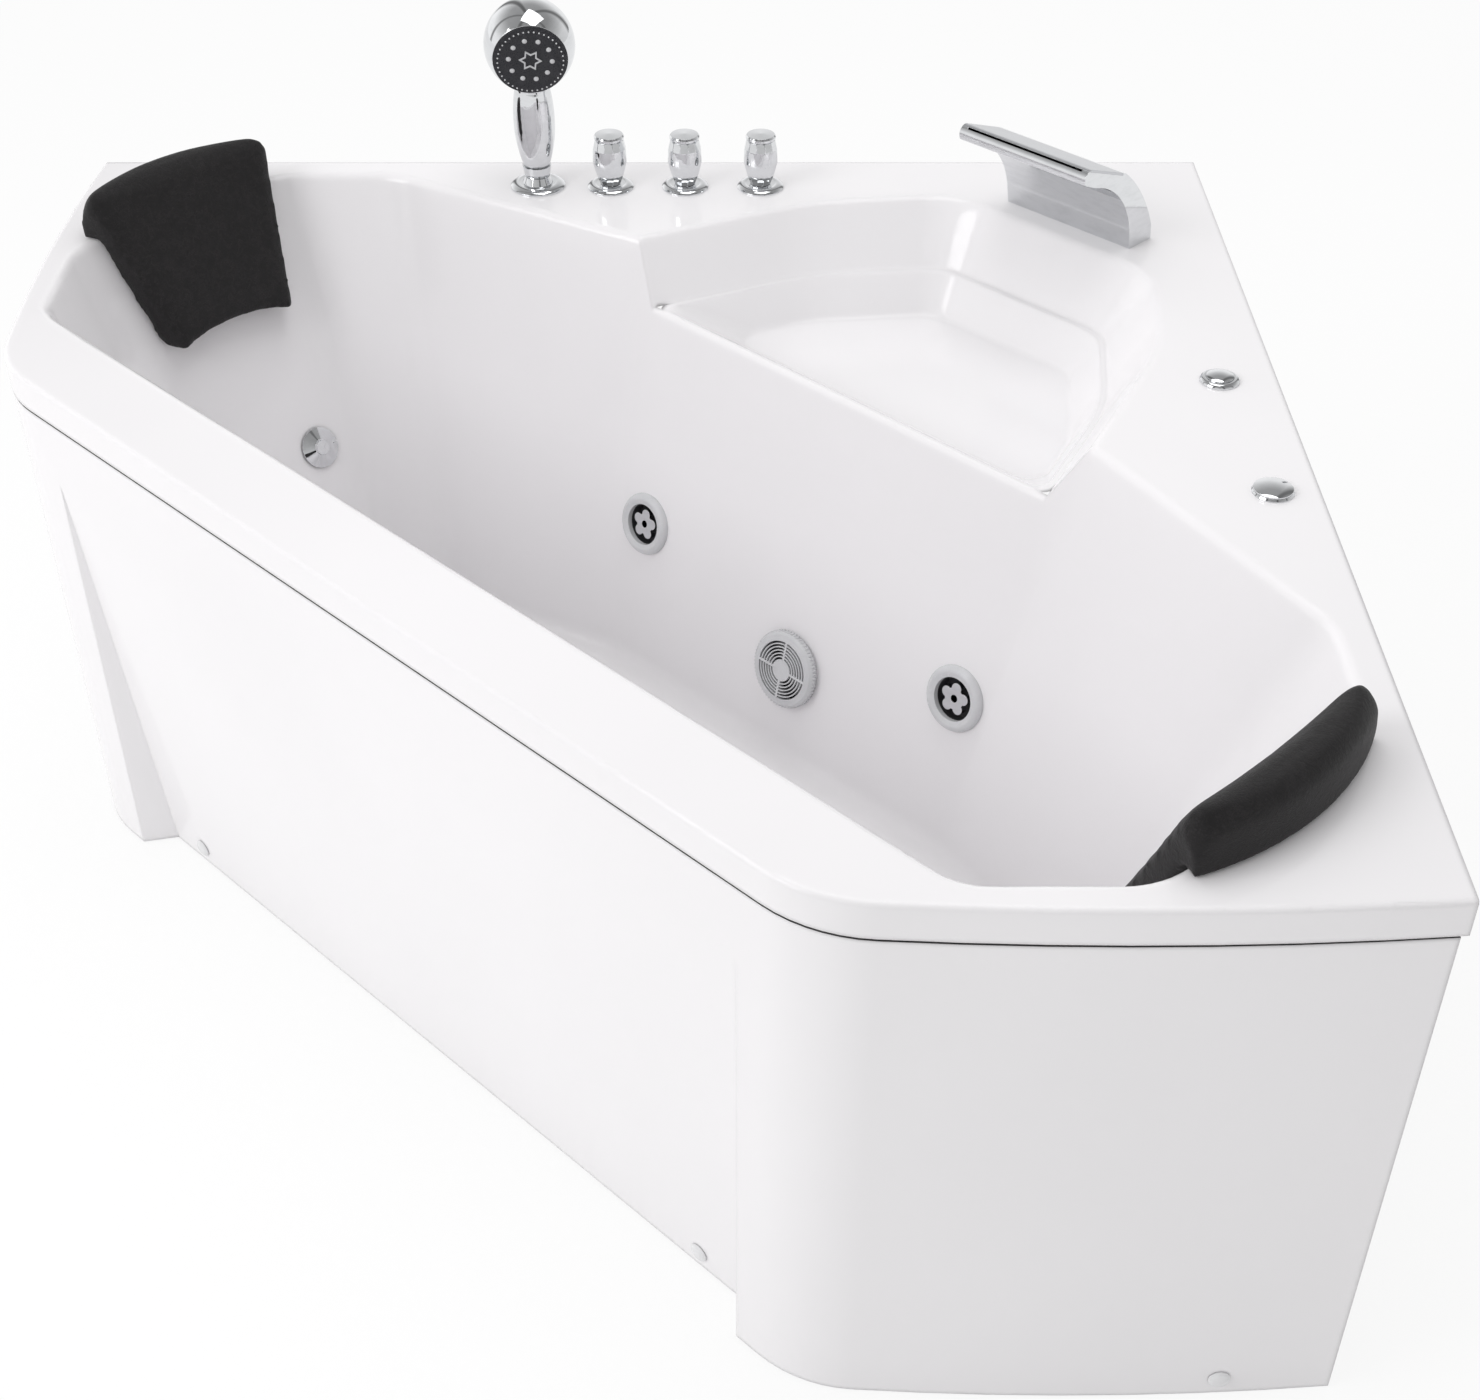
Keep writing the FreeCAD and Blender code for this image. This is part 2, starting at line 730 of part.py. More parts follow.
def make_frame():
    inside = footprint(rail_end_inset + rail_size / 2.0, rail_front_inset + rail_size / 2.0,
                       rail_wall_inset + rail_size / 2.0, 0, rim_height)
    bars = [cross_rail(s, 0.0).common(inside) for s in cross_rail_places]
    bores = [cross_rail(s, rail_wall).common(inside) for s in cross_rail_places]
    posts = [post(place, 0.0, 0.0) for place in post_places]
    posts += [post(place, 45.0, 0.0) for place in front_post_places]
    post_bores = [post(place, 0.0, post_wall) for place in post_places]
    post_bores += [post(place, 45.0, post_wall) for place in front_post_places]
    frame = rail_ring(0.0, rail_foot, rail_top).fuse(bars + posts)
    frame = frame.cut([rail_ring(rail_wall, rail_foot + rail_wall, rail_top - rail_wall)]
                      + bores + post_bores)
    stud_holes = [rod(stud_radius + turn_gap, rail_foot - 1, rail_foot + rail_wall + 1, place.x, place.y)
                  for place in foot_places]
    return frame.cut(stud_holes)


add("support_frame", make_frame())
pad = turned([(0, 0), (foot_radius, 0), (foot_radius, 5), (stud_radius + 4, foot_pad_height),
              (0, foot_pad_height)])
pad = pad.cut(rod(stud_radius, foot_pad_height - 6, foot_pad_height + 1))
add("foot_pads", *[placed(pad, place) for place in foot_places])
foot_stud = rod(stud_radius, foot_pad_height - 6, rail_foot + stud_reach)
add("foot_studs", *[placed(foot_stud, place) for place in foot_places])
foot_nut = hexagon(nut_across, rail_foot - nut_height, rail_foot, stud_radius)
add("foot_lock_nuts", *[placed(foot_nut, place) for place in foot_places])


# ------------------------------------------------------------------ apron
def panel_wedge(grow):
    """The sunk front panel's room, grown to give the skin its thickness behind it."""
    proud = 40.0
    low = -50.0
    slope = panel_depth / panel_top
    top = panel_top + grow / slope
    foot_depth = panel_depth + grow - slope * low
    flare = (panel_half - panel_foot_half) / panel_depth
    front_half = panel_half + grow + flare * grow
    foot_half = front_half - flare * foot_depth

    def corner(depth, side, half_width, z):
        return at(front_s + depth, side * half_width, z)

    left = [corner(-proud, -1, front_half, top), corner(-proud, -1, front_half, low),
            corner(0, -1, front_half, low), corner(foot_depth, -1, foot_half, low),
            corner(0, -1, front_half, top)]
    right = [corner(-proud, 1, front_half, top), corner(-proud, 1, front_half, low),
             corner(0, 1, front_half, low), corner(foot_depth, 1, foot_half, low),
             corner(0, 1, front_half, top)]
    near_left = [left[0], left[1], left[2], left[4]]
    near_right = [right[0], right[1], right[2], right[4]]
    return solid_between([near_left, [left[4], left[2], left[3]],
                          near_right, [right[4], right[2], right[3]],
                          [left[0], left[1], right[1], right[0]],
                          [left[1], left[2], left[3], right[3], right[2], right[1]],
                          [left[3], left[4], right[4], right[3]],
                          [left[0], left[4], right[4], right[0]]])


apron_top = lip_foot - apron_lip_gap
panel_slope = panel_depth / panel_top
panel_normal = (at(-1, 0) - UP * panel_slope).normalize()
screw_points = [(at(front_s + panel_depth - panel_slope * screw_height, side * screw_front_place,
                    screw_height), panel_normal) for side in (-1.0, 1.0)]
end_face_place = end_face(screw_end_place, apron_inset)
end_turn = math.asin((screw_end_place - end_middle) / end_bow)
screw_points += [(V(-end_face_place, screw_end_place, screw_height),
                  V(-math.cos(end_turn), math.sin(end_turn), 0)),
                 (V(screw_end_place, -end_face_place, screw_height),
                  V(math.sin(end_turn), -math.cos(end_turn), 0))]
outer_apron = footprint(apron_inset, apron_inset, shell_wall, apron_floor_gap, apron_top)
inner_inset = apron_inset + apron_wall
inner_apron = footprint(inner_inset, inner_inset, shell_wall - 1, 0, rim_height)
apron = outer_apron.cut(panel_wedge(0.0)).cut(inner_apron.cut(panel_wedge(apron_wall)))
screw_bore = rod(screw_radius + turn_gap, -3 * apron_wall, apron_wall)
apron = apron.cut([placed(screw_bore, point, way) for point, way in screw_points])
add("apron", apron)


def make_bracket(depth):
    """Angle bracket: a tab under the rail and a plate down behind the apron, seen from the apron."""
    back = -apron_wall - 1.2
    plate = block(-bracket_width / 2.0, bracket_width / 2.0, back - bracket_wall, back,
                  -12.0, rail_foot - screw_height)
    tab = block(-bracket_width / 2.0, bracket_width / 2.0, back - depth, back,
                rail_foot - screw_height - bracket_wall, rail_foot - screw_height)
    hole = Part.makeCylinder(screw_radius + 0.8, 4 * bracket_wall, V(0, back + bracket_wall, 0),
                             V(0, -1, 0))
    return plate.fuse(tab).removeSplitter().cut(hole)


def facing(shape, point, way):
    """Stand a piece upright at a point with its +Y along a level direction."""
    return placed(shape, point, UP, math.degrees(math.atan2(way.y, way.x)) - 90.0)


front_bracket = make_bracket(30.0)
end_bracket = make_bracket(44.0)
bracket_kinds = (front_bracket, front_bracket, end_bracket, end_bracket)
add("apron_brackets", *[facing(kind, point, way) for kind, (point, way) in zip(bracket_kinds, screw_points)])
screw = rod(screw_radius, -screw_length, 0.5).fuse(
    turned([(0, 0.5), (screw_head_radius, 0.5), (screw_head_radius, 1.5), (0, 3.0)]))
add("apron_screws", *[placed(screw, point, way) for point, way in screw_points])
cap = faceted([(0.6, cap_radius), (1.6, cap_radius), (3.2, cap_radius - 1.6), (4.4, cap_radius - 4.4),
               (cap_height, cap_radius - 8.8)], cap_facets)
cap = cap.cut(faceted([(0, screw_head_radius + part_gap), (3.3, screw_head_radius + part_gap)], cap_facets))
add("apron_screw_caps", *[placed(cap, point, way) for point, way in screw_points])


# ------------------------------------------------------------------ pillows
def pillow_section(share):
    """L-shaped slice of the right pillow at a share (-1..1) of its half width: (d, z, rounding)."""
    wide = abs(share) * pillow_half_outer
    outer = headrest_d + pillow_outer_reach - pillow_outer_curve * share ** 2
    foot = pillow_foot + pillow_foot_rise * (1 - min(1.0, wide / pillow_half_flat) ** 2)
    top = pillow_top - pillow_top_fall * share ** 2
    deck = rim_height + pillow_gap
    past_flat = max(0.0, wide - pillow_half_flat)
    turn_in = basin_corner_radius - math.sqrt(basin_corner_radius ** 2 - past_flat ** 2)
    wall_d = headrest_d - pillow_gap * 1.5 - turn_in
    front_top = headrest_d - pillow_brow - pillow_wrap * share ** 2
    front_foot = front_top - pillow_front_lean * (top - foot)
    back_foot = wall_d - headrest_slope * (rim_height - foot)
    return [(front_top, top, 18.0), (front_foot, foot, 10.0), (back_foot, foot, 5.0), (wall_d, deck, 3.0),
            (outer, deck, 5.0), (outer - 1.0, top - 14.0, 7.0), (outer - 15.0, top, 14.0)]


def rounded_wire(points, s):
    """Wire through points given as (d, z, rounding), standing across the diagonal at one s."""
    cuts = []
    for before, corner, after in zip(points[-1:] + points[:-1], points, points[1:] + points[:1]):
        here = V(corner[0], corner[1], 0)
        come = V(before[0], before[1], 0) - here
        go = V(after[0], after[1], 0) - here
        back = min(corner[2], 0.42 * come.Length, 0.42 * go.Length)
        enter = here + come.normalize() * back
        leave = here + go.normalize() * back
        middle = (enter + leave) * 0.25 + here * 0.5
        cuts.append([at(s, p.x, p.y) for p in (enter, middle, leave)])
    edges = []
    for cut, following in zip(cuts, cuts[1:] + cuts[:1]):
        edges.append(arc(*cut))
        edges.append(line(cut[2], following[0]))
    return Part.Wire(edges)


def beyond_end(side):
    """Room past the pillow's leaning end, on one side of its middle."""
    end_way = (at(side, -pillow_end_spread) - UP * pillow_end_flare).normalize()
    past = 2.0 * pillow_half_outer
    end_middle = at(side * pillow_half, headrest_d, rim_height)
    return placed(block(-past, past, -past, past, 0, past), end_middle, end_way)


def make_pillow():
    shares = (-1.0, -0.83, -0.66, -0.33, 0.0, 0.33, 0.66, 0.83, 1.0)
    wires = [rounded_wire(pillow_section(share), share * pillow_half_outer) for share in shares]
    body = outward(Part.makeLoft(wires, True, True))
    sockets = [placed(rod(pillow_stud_radius + turn_gap, 0, shell_wall + pillow_stud_height + 2), point)
               for point in pillow_studs_at]
    return body.cut(sockets + [beyond_end(-1), beyond_end(1)])


pillow = make_pillow()
add("pillow_right", pillow)
add("pillow_left", mirrored(pillow))
pillow_stud = rod(pillow_stud_radius, -3, shell_wall + pillow_stud_height).fuse(rod(9.0, -3, 0))
studs = [placed(pillow_stud, point) for point in pillow_studs_at]
add("pillow_studs", *(studs + [mirrored(stud) for stud in studs]))


# ------------------------------------------------------------------ taps
knob_low = knob_flange_height + part_gap
knob_flange = turned([(0, 0), (knob_flange_radius, 0), (knob_flange_radius, 1.5),
                      (knob_flange_radius - 3, 4.2, knob_foot_radius + 5, knob_flange_height),
                      (0, knob_flange_height)], spindle_radius + turn_gap)
knob_flange = knob_flange.cut(rod(valve_thread_radius + hole_gap, -1, 2.5))
knob = faceted([(knob_low, knob_foot_radius), (knob_low + 12, knob_foot_radius + 4.5),
                (knob_height * 0.55, knob_radius), (knob_height * 0.8, knob_radius - 0.6),
                (knob_height, knob_neck_radius)], knob_facets)
knob_socket_top = knob_height - 18.0
knob = knob.cut(rod(spindle_radius + 0.05, 0, knob_socket_top))
knob_cap = turned([(0, knob_height), (knob_cap_radius - 1.2, knob_height), (knob_cap_radius, knob_height + 1.5),
                   (knob_cap_radius, knob_height + knob_cap_height - 2),
                   (knob_cap_radius - 1.5, knob_height + knob_cap_height),
                   (0, knob_height + knob_cap_height + 0.8)])
spindle_low = -shell_wall - 30.0
spindle = rod(spindle_radius, spindle_low, knob_socket_top)
valve_top = 2.2
nut_low = -shell_wall - deck_nut_height
body_top = nut_low - 4.0
body_low = body_top - valve_body_height
valve_body = rod(valve_thread_radius, body_top, valve_top).fuse([
    rod(valve_body_radius, body_low, body_top),
    rod(inlet_radius, body_low - inlet_length, body_low)]).removeSplitter()
valve_body = valve_body.cut([rod(spindle_radius + turn_gap, spindle_low - turn_gap, valve_top + 1),
                             rod(inlet_radius - 2.5, body_low - inlet_length - 1, body_low + 8)])
deck_nut = hexagon(deck_nut_across, nut_low, -shell_wall, valve_thread_radius)
knob_names = ("left", "middle", "right")
add("knob_flanges", *[on_deck(knob_flange, place) for place in knob_places])
for name, place in zip(knob_names, knob_places):
    add("knob_" + name, on_deck(knob, place, 360.0 / knob_facets / 2))
    add("knob_cap_" + name, on_deck(knob_cap, place))
    add("valve_spindle_" + name, on_deck(spindle, place))
add("valve_bodies", *[on_deck(valve_body, place) for place in knob_places])

# ------------------------------------------------------------------ hand shower
shower_flange = turned([(0, 0), (shower_flange_radius, 0), (shower_flange_radius, 2),
                        (shower_flange_radius - 4, 5, cradle_radius + 3, shower_flange_height),
                        (0, shower_flange_height)], guide_radius + turn_gap)
add("shower_flange", on_deck(shower_flange, shower_place))
cradle_top = shower_flange_height + cradle_height
plug_low = cradle_top - shower_plug_length
cradle = turned([(0, shower_flange_height), (cradle_radius, shower_flange_height),
                 (cradle_radius - 3.5, shower_flange_height + 8), (cradle_radius - 1.0, cradle_top),
                 (0, cradle_top)])
cradle = cradle.cut(turned([(0, plug_low - part_gap), (shower_plug_radius - 1.5 + part_gap, plug_low - part_gap),
                            (shower_plug_radius + part_gap, cradle_top + 1), (0, cradle_top + 1)]))
cradle = cradle.cut(rod(guide_bore, shower_flange_height - 1, cradle_top))
add("shower_cradle", on_deck(cradle, shower_place))
guide = ring(guide_radius, guide_bore, -guide_length, shower_flange_height)
add("shower_guide_tube", on_deck(guide, shower_place))

head_centre = V(0, 0, head_height)
face_way = FreeCAD.Rotation(UP, face_turn).multVec(
    V(0, -math.cos(math.radians(face_tilt)), -math.sin(math.radians(face_tilt))))
head_ball = Part.makeSphere(head_radius)
head_ball = head_ball.cut(rod(head_radius + 1, face_offset, head_radius + 1))
head_ball = head_ball.cut(rod(face_radius + part_gap, face_offset - face_wall - part_gap, face_offset + 1))
head_ball = head_ball.cut(ring(face_radius + part_gap, 8.0, face_offset - face_wall - 6.0,
                               face_offset - face_wall))
grip_low = cradle_top + part_gap
grip = turned([(0, plug_low), (shower_plug_radius - 1.5, plug_low), (shower_plug_radius, cradle_top),
               (shower_plug_radius, grip_low), (shower_foot_radius, grip_low),
               (shower_grip_radius - 2.4, (grip_low + 82.0) / 2.0, shower_grip_radius, 82.0),
               (shower_grip_radius - 0.8, 104.0, shower_neck_radius, 126.0),
               (shower_neck_radius - 1.5, head_height - 20.0), (0, head_height - 20.0)])
handle = placed(head_ball, head_centre, face_way).fuse(grip).removeSplitter()
handle = handle.cut(placed(rod(face_radius + part_gap, face_offset - face_wall - part_gap, face_offset + 1),
                           head_centre, face_way))
handle = handle.cut(rod(6.0, plug_low - 1, 112.0))
add("shower_handle", on_deck(handle, shower_place))


def in_face(shape):
    """Move a piece made about Z, with its seat at z = 0, to the spray face."""
    return on_deck(placed(shape, head_centre + face_way * face_offset, face_way), shower_place)


face = turned([(0, -face_wall), (face_radius, -face_wall), (face_radius, -0.8), (face_radius - 2, 0.4),
               (0, 0.9)])
nozzle_spots = [V(nozzle_circle * math.cos(2 * math.pi * k / nozzle_count),
                  nozzle_circle * math.sin(2 * math.pi * k / nozzle_count), 0) for k in range(nozzle_count)]
nozzle_seats = [rod(nozzle_radius, -1.5, 2, spot.x, spot.y) for spot in nozzle_spots]


def star_wire(tip, root, z):
    points = []
    for k in range(12):
        radius = tip if k % 2 == 0 else root
        points.append(V(radius * math.cos(math.pi * k / 6), radius * math.sin(math.pi * k / 6), z))
    return polygon_wire(points)


def star_solid(shrink, low, high):
    wire = star_wire(star_tip_radius - 1.6 * shrink, star_root_radius - shrink, low)
    return Part.Face(wire).extrude(V(0, 0, high - low))


star_seat = star_solid(0, -1.5, 2).cut(star_solid(star_wall, -2, 3))
face = face.cut(nozzle_seats + [star_seat])
add("shower_face", in_face(face))
nozzle = turned([(0, -1.5), (nozzle_radius, -1.5), (nozzle_radius, 1.0),
                 dome(nozzle_radius, 1.0, nozzle_height)])
add("shower_nozzles", *[in_face(placed(nozzle, spot)) for spot in nozzle_spots])
add("shower_star", in_face(star_solid(0, -1.5, 1.8).cut(star_solid(star_wall, -2, 3))))

# ------------------------------------------------------------------ waterfall spout
spout_tip_s = spout_back_s - 145.0
spout_shoulder = 127.0          # top plate above the deck


def spout_profile():
    """Side view of the spout as a closed wire on the diagonal plane: a thick inverted J."""
    back = spout_back_s
    front = spout_back_s - spout_leg

    def p(s, z):
        return at(s, -spout_half_width, rim_height + z)

    return Part.Wire([
        line(p(back, 0), p(back - 2, 18)),
        arc(p(back - 2, 18), p(back - 26, 61), p(back - 66, spout_shoulder - 25)),
        line(p(back - 66, spout_shoulder - 25), p(spout_tip_s + 12, spout_shoulder)),
        arc(p(spout_tip_s + 12, spout_shoulder), p(spout_tip_s + 1, spout_shoulder - 5),
            p(spout_tip_s + 3, spout_shoulder - 17)),
        line(p(spout_tip_s + 3, spout_shoulder - 17), p(spout_tip_s + 22, spout_shoulder - 25)),
        arc(p(spout_tip_s + 22, spout_shoulder - 25), p(front - 30, 72), p(front - 5, 26)),
        line(p(front - 5, 26), p(front, 0)),
        line(p(front, 0), p(back, 0))])


spout_solid = Part.Face(spout_profile()).extrude(at(0, 2 * spout_half_width))
plate_run = (spout_back_s - 66) - (spout_tip_s + 12)
plate_rise = 25.0
plate_slope = plate_rise / plate_run


def plate_layer(above, below, start, end, half_width):
    """Slab that follows the sloping top of the spout between two depths under it."""
    def p(s, sink):
        z = spout_shoulder - 25 + (spout_back_s - 66 - s) * plate_slope - sink
        return at(s, -half_width, rim_height + z)

    points = [p(start, above), p(end, above), p(end, below), p(start, below)]
    return Part.Face(polygon_wire(points)).extrude(at(0, 2 * half_width))


plate_start = spout_back_s - 72.0
top_plate = spout_solid.common(plate_layer(-40.0, spout_plate, plate_start, spout_tip_s - 20,
                                           spout_half_width))
slot = plate_layer(spout_plate, spout_plate + spout_slot, plate_start, spout_tip_s - 20,
                   spout_half_width - spout_cheek)
spout_body = spout_solid.cut(plate_layer(-40.0, spout_plate, plate_start, spout_tip_s - 20,
                                         spout_half_width + 1)).cut(slot)
channel = Part.Face(polygon_wire([
    at(spout_back_s - 8, -spout_half_width + spout_cheek, rim_height + 4),
    at(spout_back_s - 12, -spout_half_width + spout_cheek, rim_height + 24),
    at(spout_back_s - 34, -spout_half_width + spout_cheek, rim_height + 60),
    at(spout_back_s - 74, -spout_half_width + spout_cheek, rim_height + 96),
    at(spout_back_s - 84, -spout_half_width + spout_cheek, rim_height + 102),
    at(spout_back_s - 84, -spout_half_width + spout_cheek, rim_height + 92),
    at(spout_back_s - 60, -spout_half_width + spout_cheek, rim_height + 72),
    at(spout_back_s - 38, -spout_half_width + spout_cheek, rim_height + 30),
    at(spout_back_s - 34, -spout_half_width + spout_cheek, rim_height + 4)])).extrude(
        at(0, 2 * (spout_half_width - spout_cheek)))
spout_body = spout_body.cut(channel)
spout_socket = placed(rod(spout_tail_radius + turn_gap, -1, 8.0), at(spout_tail_s, 0, rim_height))
add("spout_body", spout_body.cut(spout_socket))
add("spout_top_plate", top_plate)
add("spout_tail", placed(ring(spout_tail_radius, spout_tail_bore, -spout_tail_length, 8.0 - part_gap),
                         at(spout_tail_s, 0, rim_height)))


# ------------------------------------------------------------------ pump button and air control
def make_button_body():
    barrel = rod(button_barrel_radius, -button_barrel_length, 0)
    bore = rod(button_radius + turn_gap, -16.0, 1)
    stem_bore = rod(button_stem_radius + turn_gap, -button_barrel_length + 8, 0)
    outlet = rod(air_tube_radius + 1.5, -button_barrel_length - hose_tail, -button_barrel_length)
    return barrel.fuse(outlet).cut([bore, stem_bore, rod(air_tube_radius - 1.5, -far_reach, -20)])


add("button_body", on_deck(make_button_body(), button_place))
bezel = turned([(button_radius + turn_gap, 0), (button_bezel_radius, 0), (button_bezel_radius, 1.5),
                (button_bezel_radius - 2.5, button_bezel_height - 0.6, button_radius + turn_gap + 1.2,
                 button_bezel_height), (button_radius + turn_gap, button_bezel_height)])
add("button_bezel", on_deck(bezel, button_place))
cap_low = button_travel + 0.6 - 4.0
button_cap = turned([(0, cap_low), (button_radius, cap_low), (button_radius, button_bezel_height + 1),
                     dome(button_radius, button_bezel_height + 1, button_bezel_height + 4.4)])
stem_low = -button_barrel_length + 8 + button_travel + part_gap
button_cap = button_cap.fuse(rod(button_stem_radius, stem_low, cap_low)).removeSplitter()
add("button_cap", on_deck(button_cap, button_place))
spring_radius = (button_radius + button_stem_radius) / 2.0
add("button_spring", on_deck(ring(spring_radius + 1.2, spring_radius - 1.2, -16.0, cap_low), button_place))

air_ring = turned([(air_stem_radius + turn_gap, 0), (air_ring_radius, 0), (air_ring_radius, 1),
                   (air_ring_radius - 1.5, air_ring_height), (air_stem_radius + turn_gap, air_ring_height)])
add("air_dial_ring", on_deck(air_ring, air_place))
dial_low = air_ring_height + part_gap
dial = turned([(0, dial_low), (air_dial_radius, dial_low), (air_dial_radius, dial_low + 1.5),
               dome(air_dial_radius, dial_low + 1.5, dial_low + air_dial_height)])
notch = block(-1.6, 1.6, air_dial_radius - 9.0, air_dial_radius + 1, dial_low - 1, dial_low + 20)
dial = dial.cut(notch).fuse(rod(air_stem_radius, -air_barrel_length + 14, dial_low)).removeSplitter()
add("air_dial", on_deck(dial, air_place, -60.0))
air_body = rod(air_barrel_radius, -air_barrel_length, 0).fuse(
    rod(air_pipe_radius, -air_barrel_length - hose_tail, -air_barrel_length))
air_body = air_body.cut([rod(air_stem_radius + turn_gap, -air_barrel_length + 13.5, 1),
                         rod(air_pipe_radius - 2, -far_reach, -air_barrel_length + 10)])
add("air_valve_body", on_deck(air_body, air_place))


def deck_nut_for(radius, across):
    return hexagon(across, nut_low, -shell_wall, radius)


nuts = [on_deck(deck_nut, place) for place in knob_places]
nuts.append(on_deck(deck_nut_for(guide_radius, 36.0), shower_place))
nuts.append(on_deck(deck_nut_for(button_barrel_radius, 48.0), button_place))
nuts.append(on_deck(deck_nut_for(air_barrel_radius, 40.0), air_place))
nuts.append(placed(deck_nut_for(spout_tail_radius, 38.0), at(spout_tail_s, 0, rim_height)))
add("deck_lock_nuts", *nuts)

# ------------------------------------------------------------------ jets
jet_flange = turned([(jet_cup_radius + part_gap, 0), (jet_flange_radius, 0), (jet_flange_radius, 2.5),
                     (jet_flange_radius - 3, jet_flange_height - 1.2, jet_flange_radius - 8, jet_flange_height),
                     (jet_cup_radius + part_gap, jet_flange_height - 1.5)])
jet_tail_radius = jet_pipe_radius - 4.0
jet_body = rod(jet_barrel_radius, -jet_barrel_length, 0).fuse([
    rod(jet_tail_radius, -jet_barrel_length - jet_tail_length, -jet_barrel_length),
    Part.makeCylinder(air_pipe_radius, jet_barrel_radius + jet_tail_length,
                      V(0, 0, -jet_air_place), V(0, 1, 0))])
jet_body = jet_body.cut([
    rod(jet_cup_radius, -jet_cup_depth, 1),
    rod(jet_hub_radius + turn_gap, -jet_cup_depth - jet_hub_length, 1),
    rod(jet_tail_radius - pipe_wall, -jet_barrel_length - jet_tail_length - 1, -jet_cup_depth),
    Part.makeCylinder(air_pipe_radius - 2, jet_barrel_radius + jet_tail_length + 1,
                      V(0, 0, -jet_air_place), V(0, 1, 0))])
lobes = [rod(jet_lobe_radius, -5.0, 3.0, jet_lobe_circle * math.cos(2 * math.pi * k / jet_lobes),
             jet_lobe_circle * math.sin(2 * math.pi * k / jet_lobes)) for k in range(jet_lobes)]
jet_nozzle = rod(jet_hub_radius + 3.0, -5.0, 3.0).fuse(
    lobes + [rod(jet_hub_radius, part_gap - jet_cup_depth - jet_hub_length, -4.0)]).removeSplitter()
jet_nozzle = jet_nozzle.cut(rod(4.5, -far_reach, far_reach))


def jet_turn(point):
    """Turn that points the jet's own +Y upwards along the leaning wall."""
    level = FreeCAD.Rotation(UP, seat_normal).multVec(V(0, 1, 0))
    uphill = UP - seat_normal * UP.dot(seat_normal)
    angle = math.degrees(level.getAngle(uphill))
    return angle if level.cross(uphill).dot(seat_normal) > 0 else -angle


jet_up = jet_turn(jet_points[0])
add("jet_flanges", *[placed(jet_flange, point, seat_normal) for point in jet_points])
add("jet_bodies", *[placed(jet_body, point, seat_normal, jet_up) for point in jet_points])
for name, point in zip(("left", "right"), jet_points):
    add("jet_nozzle_" + name, placed(jet_nozzle, point, seat_normal, jet_up + 90.0))

# ------------------------------------------------------------------ suction
grille = turned([(0, 0), (suction_radius - 3, 0), (suction_radius, 4), (suction_radius, 10),
                 (suction_radius - 3, suction_cover_height - 1.5), (suction_radius - 9, suction_cover_height),
                 (0, suction_cover_height)])
grille = grille.cut(rod(suction_radius - 6, -1, suction_cover_height - 4))
ring_pitch = (suction_radius - 10 - suction_hub_radius) / suction_rings
slots = []
for k in range(suction_rings):
    low_radius = suction_hub_radius + ring_pitch * (k + 0.5) - suction_slot / 2.0
    slots.append(ring(low_radius + suction_slot, low_radius, 0, suction_cover_height + 1))
spokes = block(-suction_radius, suction_radius, -1.5, 1.5, 0, suction_cover_height + 1).fuse(
    block(-1.5, 1.5, -suction_radius, suction_radius, 0, suction_cover_height + 1))
grille = grille.cut([one.cut(spokes) for one in slots])
add("suction_cover", placed(grille, suction_point, seat_normal, jet_up))
suction_body = rod(suction_barrel_radius, -suction_barrel_length, 0).fuse(
    rod(suction_barrel_radius + 8, 0, 3.0))
suction_body = suction_body.cut([rod(suction_barrel_radius - 4, -suction_barrel_length + 6, 4),
                                 rod(pipe_radius - pipe_wall, -suction_barrel_length - 1, 0)])
add("suction_body", placed(suction_body, suction_point, seat_normal))

# ------------------------------------------------------------------ overflow
overflow_back = overflow_point - overflow_normal * overflow_barrel_length
overflow_body = rod(overflow_barrel_radius, -overflow_barrel_length, 0).fuse(
    rod(overflow_barrel_radius + 1.5, 0, 2.0))
ports = [rod(3.5, -26.0, 3.0, 13.0 * math.cos(math.pi * k / 3), 13.0 * math.sin(math.pi * k / 3))
         for k in range(6)]
overflow_body = overflow_body.cut([rod(waste_pipe_radius - pipe_wall, -overflow_barrel_length - 1, -24.0),
                                   rod(overflow_stem_radius + turn_gap, -25.0, 3.0)] + ports)
add("overflow_body", placed(overflow_body, overflow_point, overflow_normal))
cap_seat = 2.0 + part_gap
overflow_cap = turned([(0, cap_seat), (overflow_cap_radius, cap_seat), (overflow_cap_radius, cap_seat + 1.6),
                       (overflow_cap_radius * 0.4, overflow_cap_height - 2.5),
                       (overflow_cap_radius * 0.36, overflow_cap_height),
                       (0, overflow_cap_height + 0.6)])
overflow_cap = overflow_cap.fuse(rod(overflow_stem_radius, -22.0, cap_seat)).removeSplitter()
lever_mark = block(-1.2, 1.2, overflow_cap_radius - 8, overflow_cap_radius + 1, cap_seat + 0.8, 20)
add("overflow_cap", placed(overflow_cap.cut(lever_mark), overflow_point, overflow_normal, jet_up))
pipe_turn = overflow_back - overflow_normal * 24.0
pipe_low = V(pipe_turn.x, pipe_turn.y, overflow_entry_height)
trap_middle = V(drain_point.x, drain_point.y, overflow_entry_height)
spigot_reach = trap_radius + spigot_length
add("overflow_pipe", tube([overflow_back, pipe_turn, pipe_low, trap_middle + at(0, -spigot_reach)],
                          waste_pipe_radius, 26.0, pipe_wall))

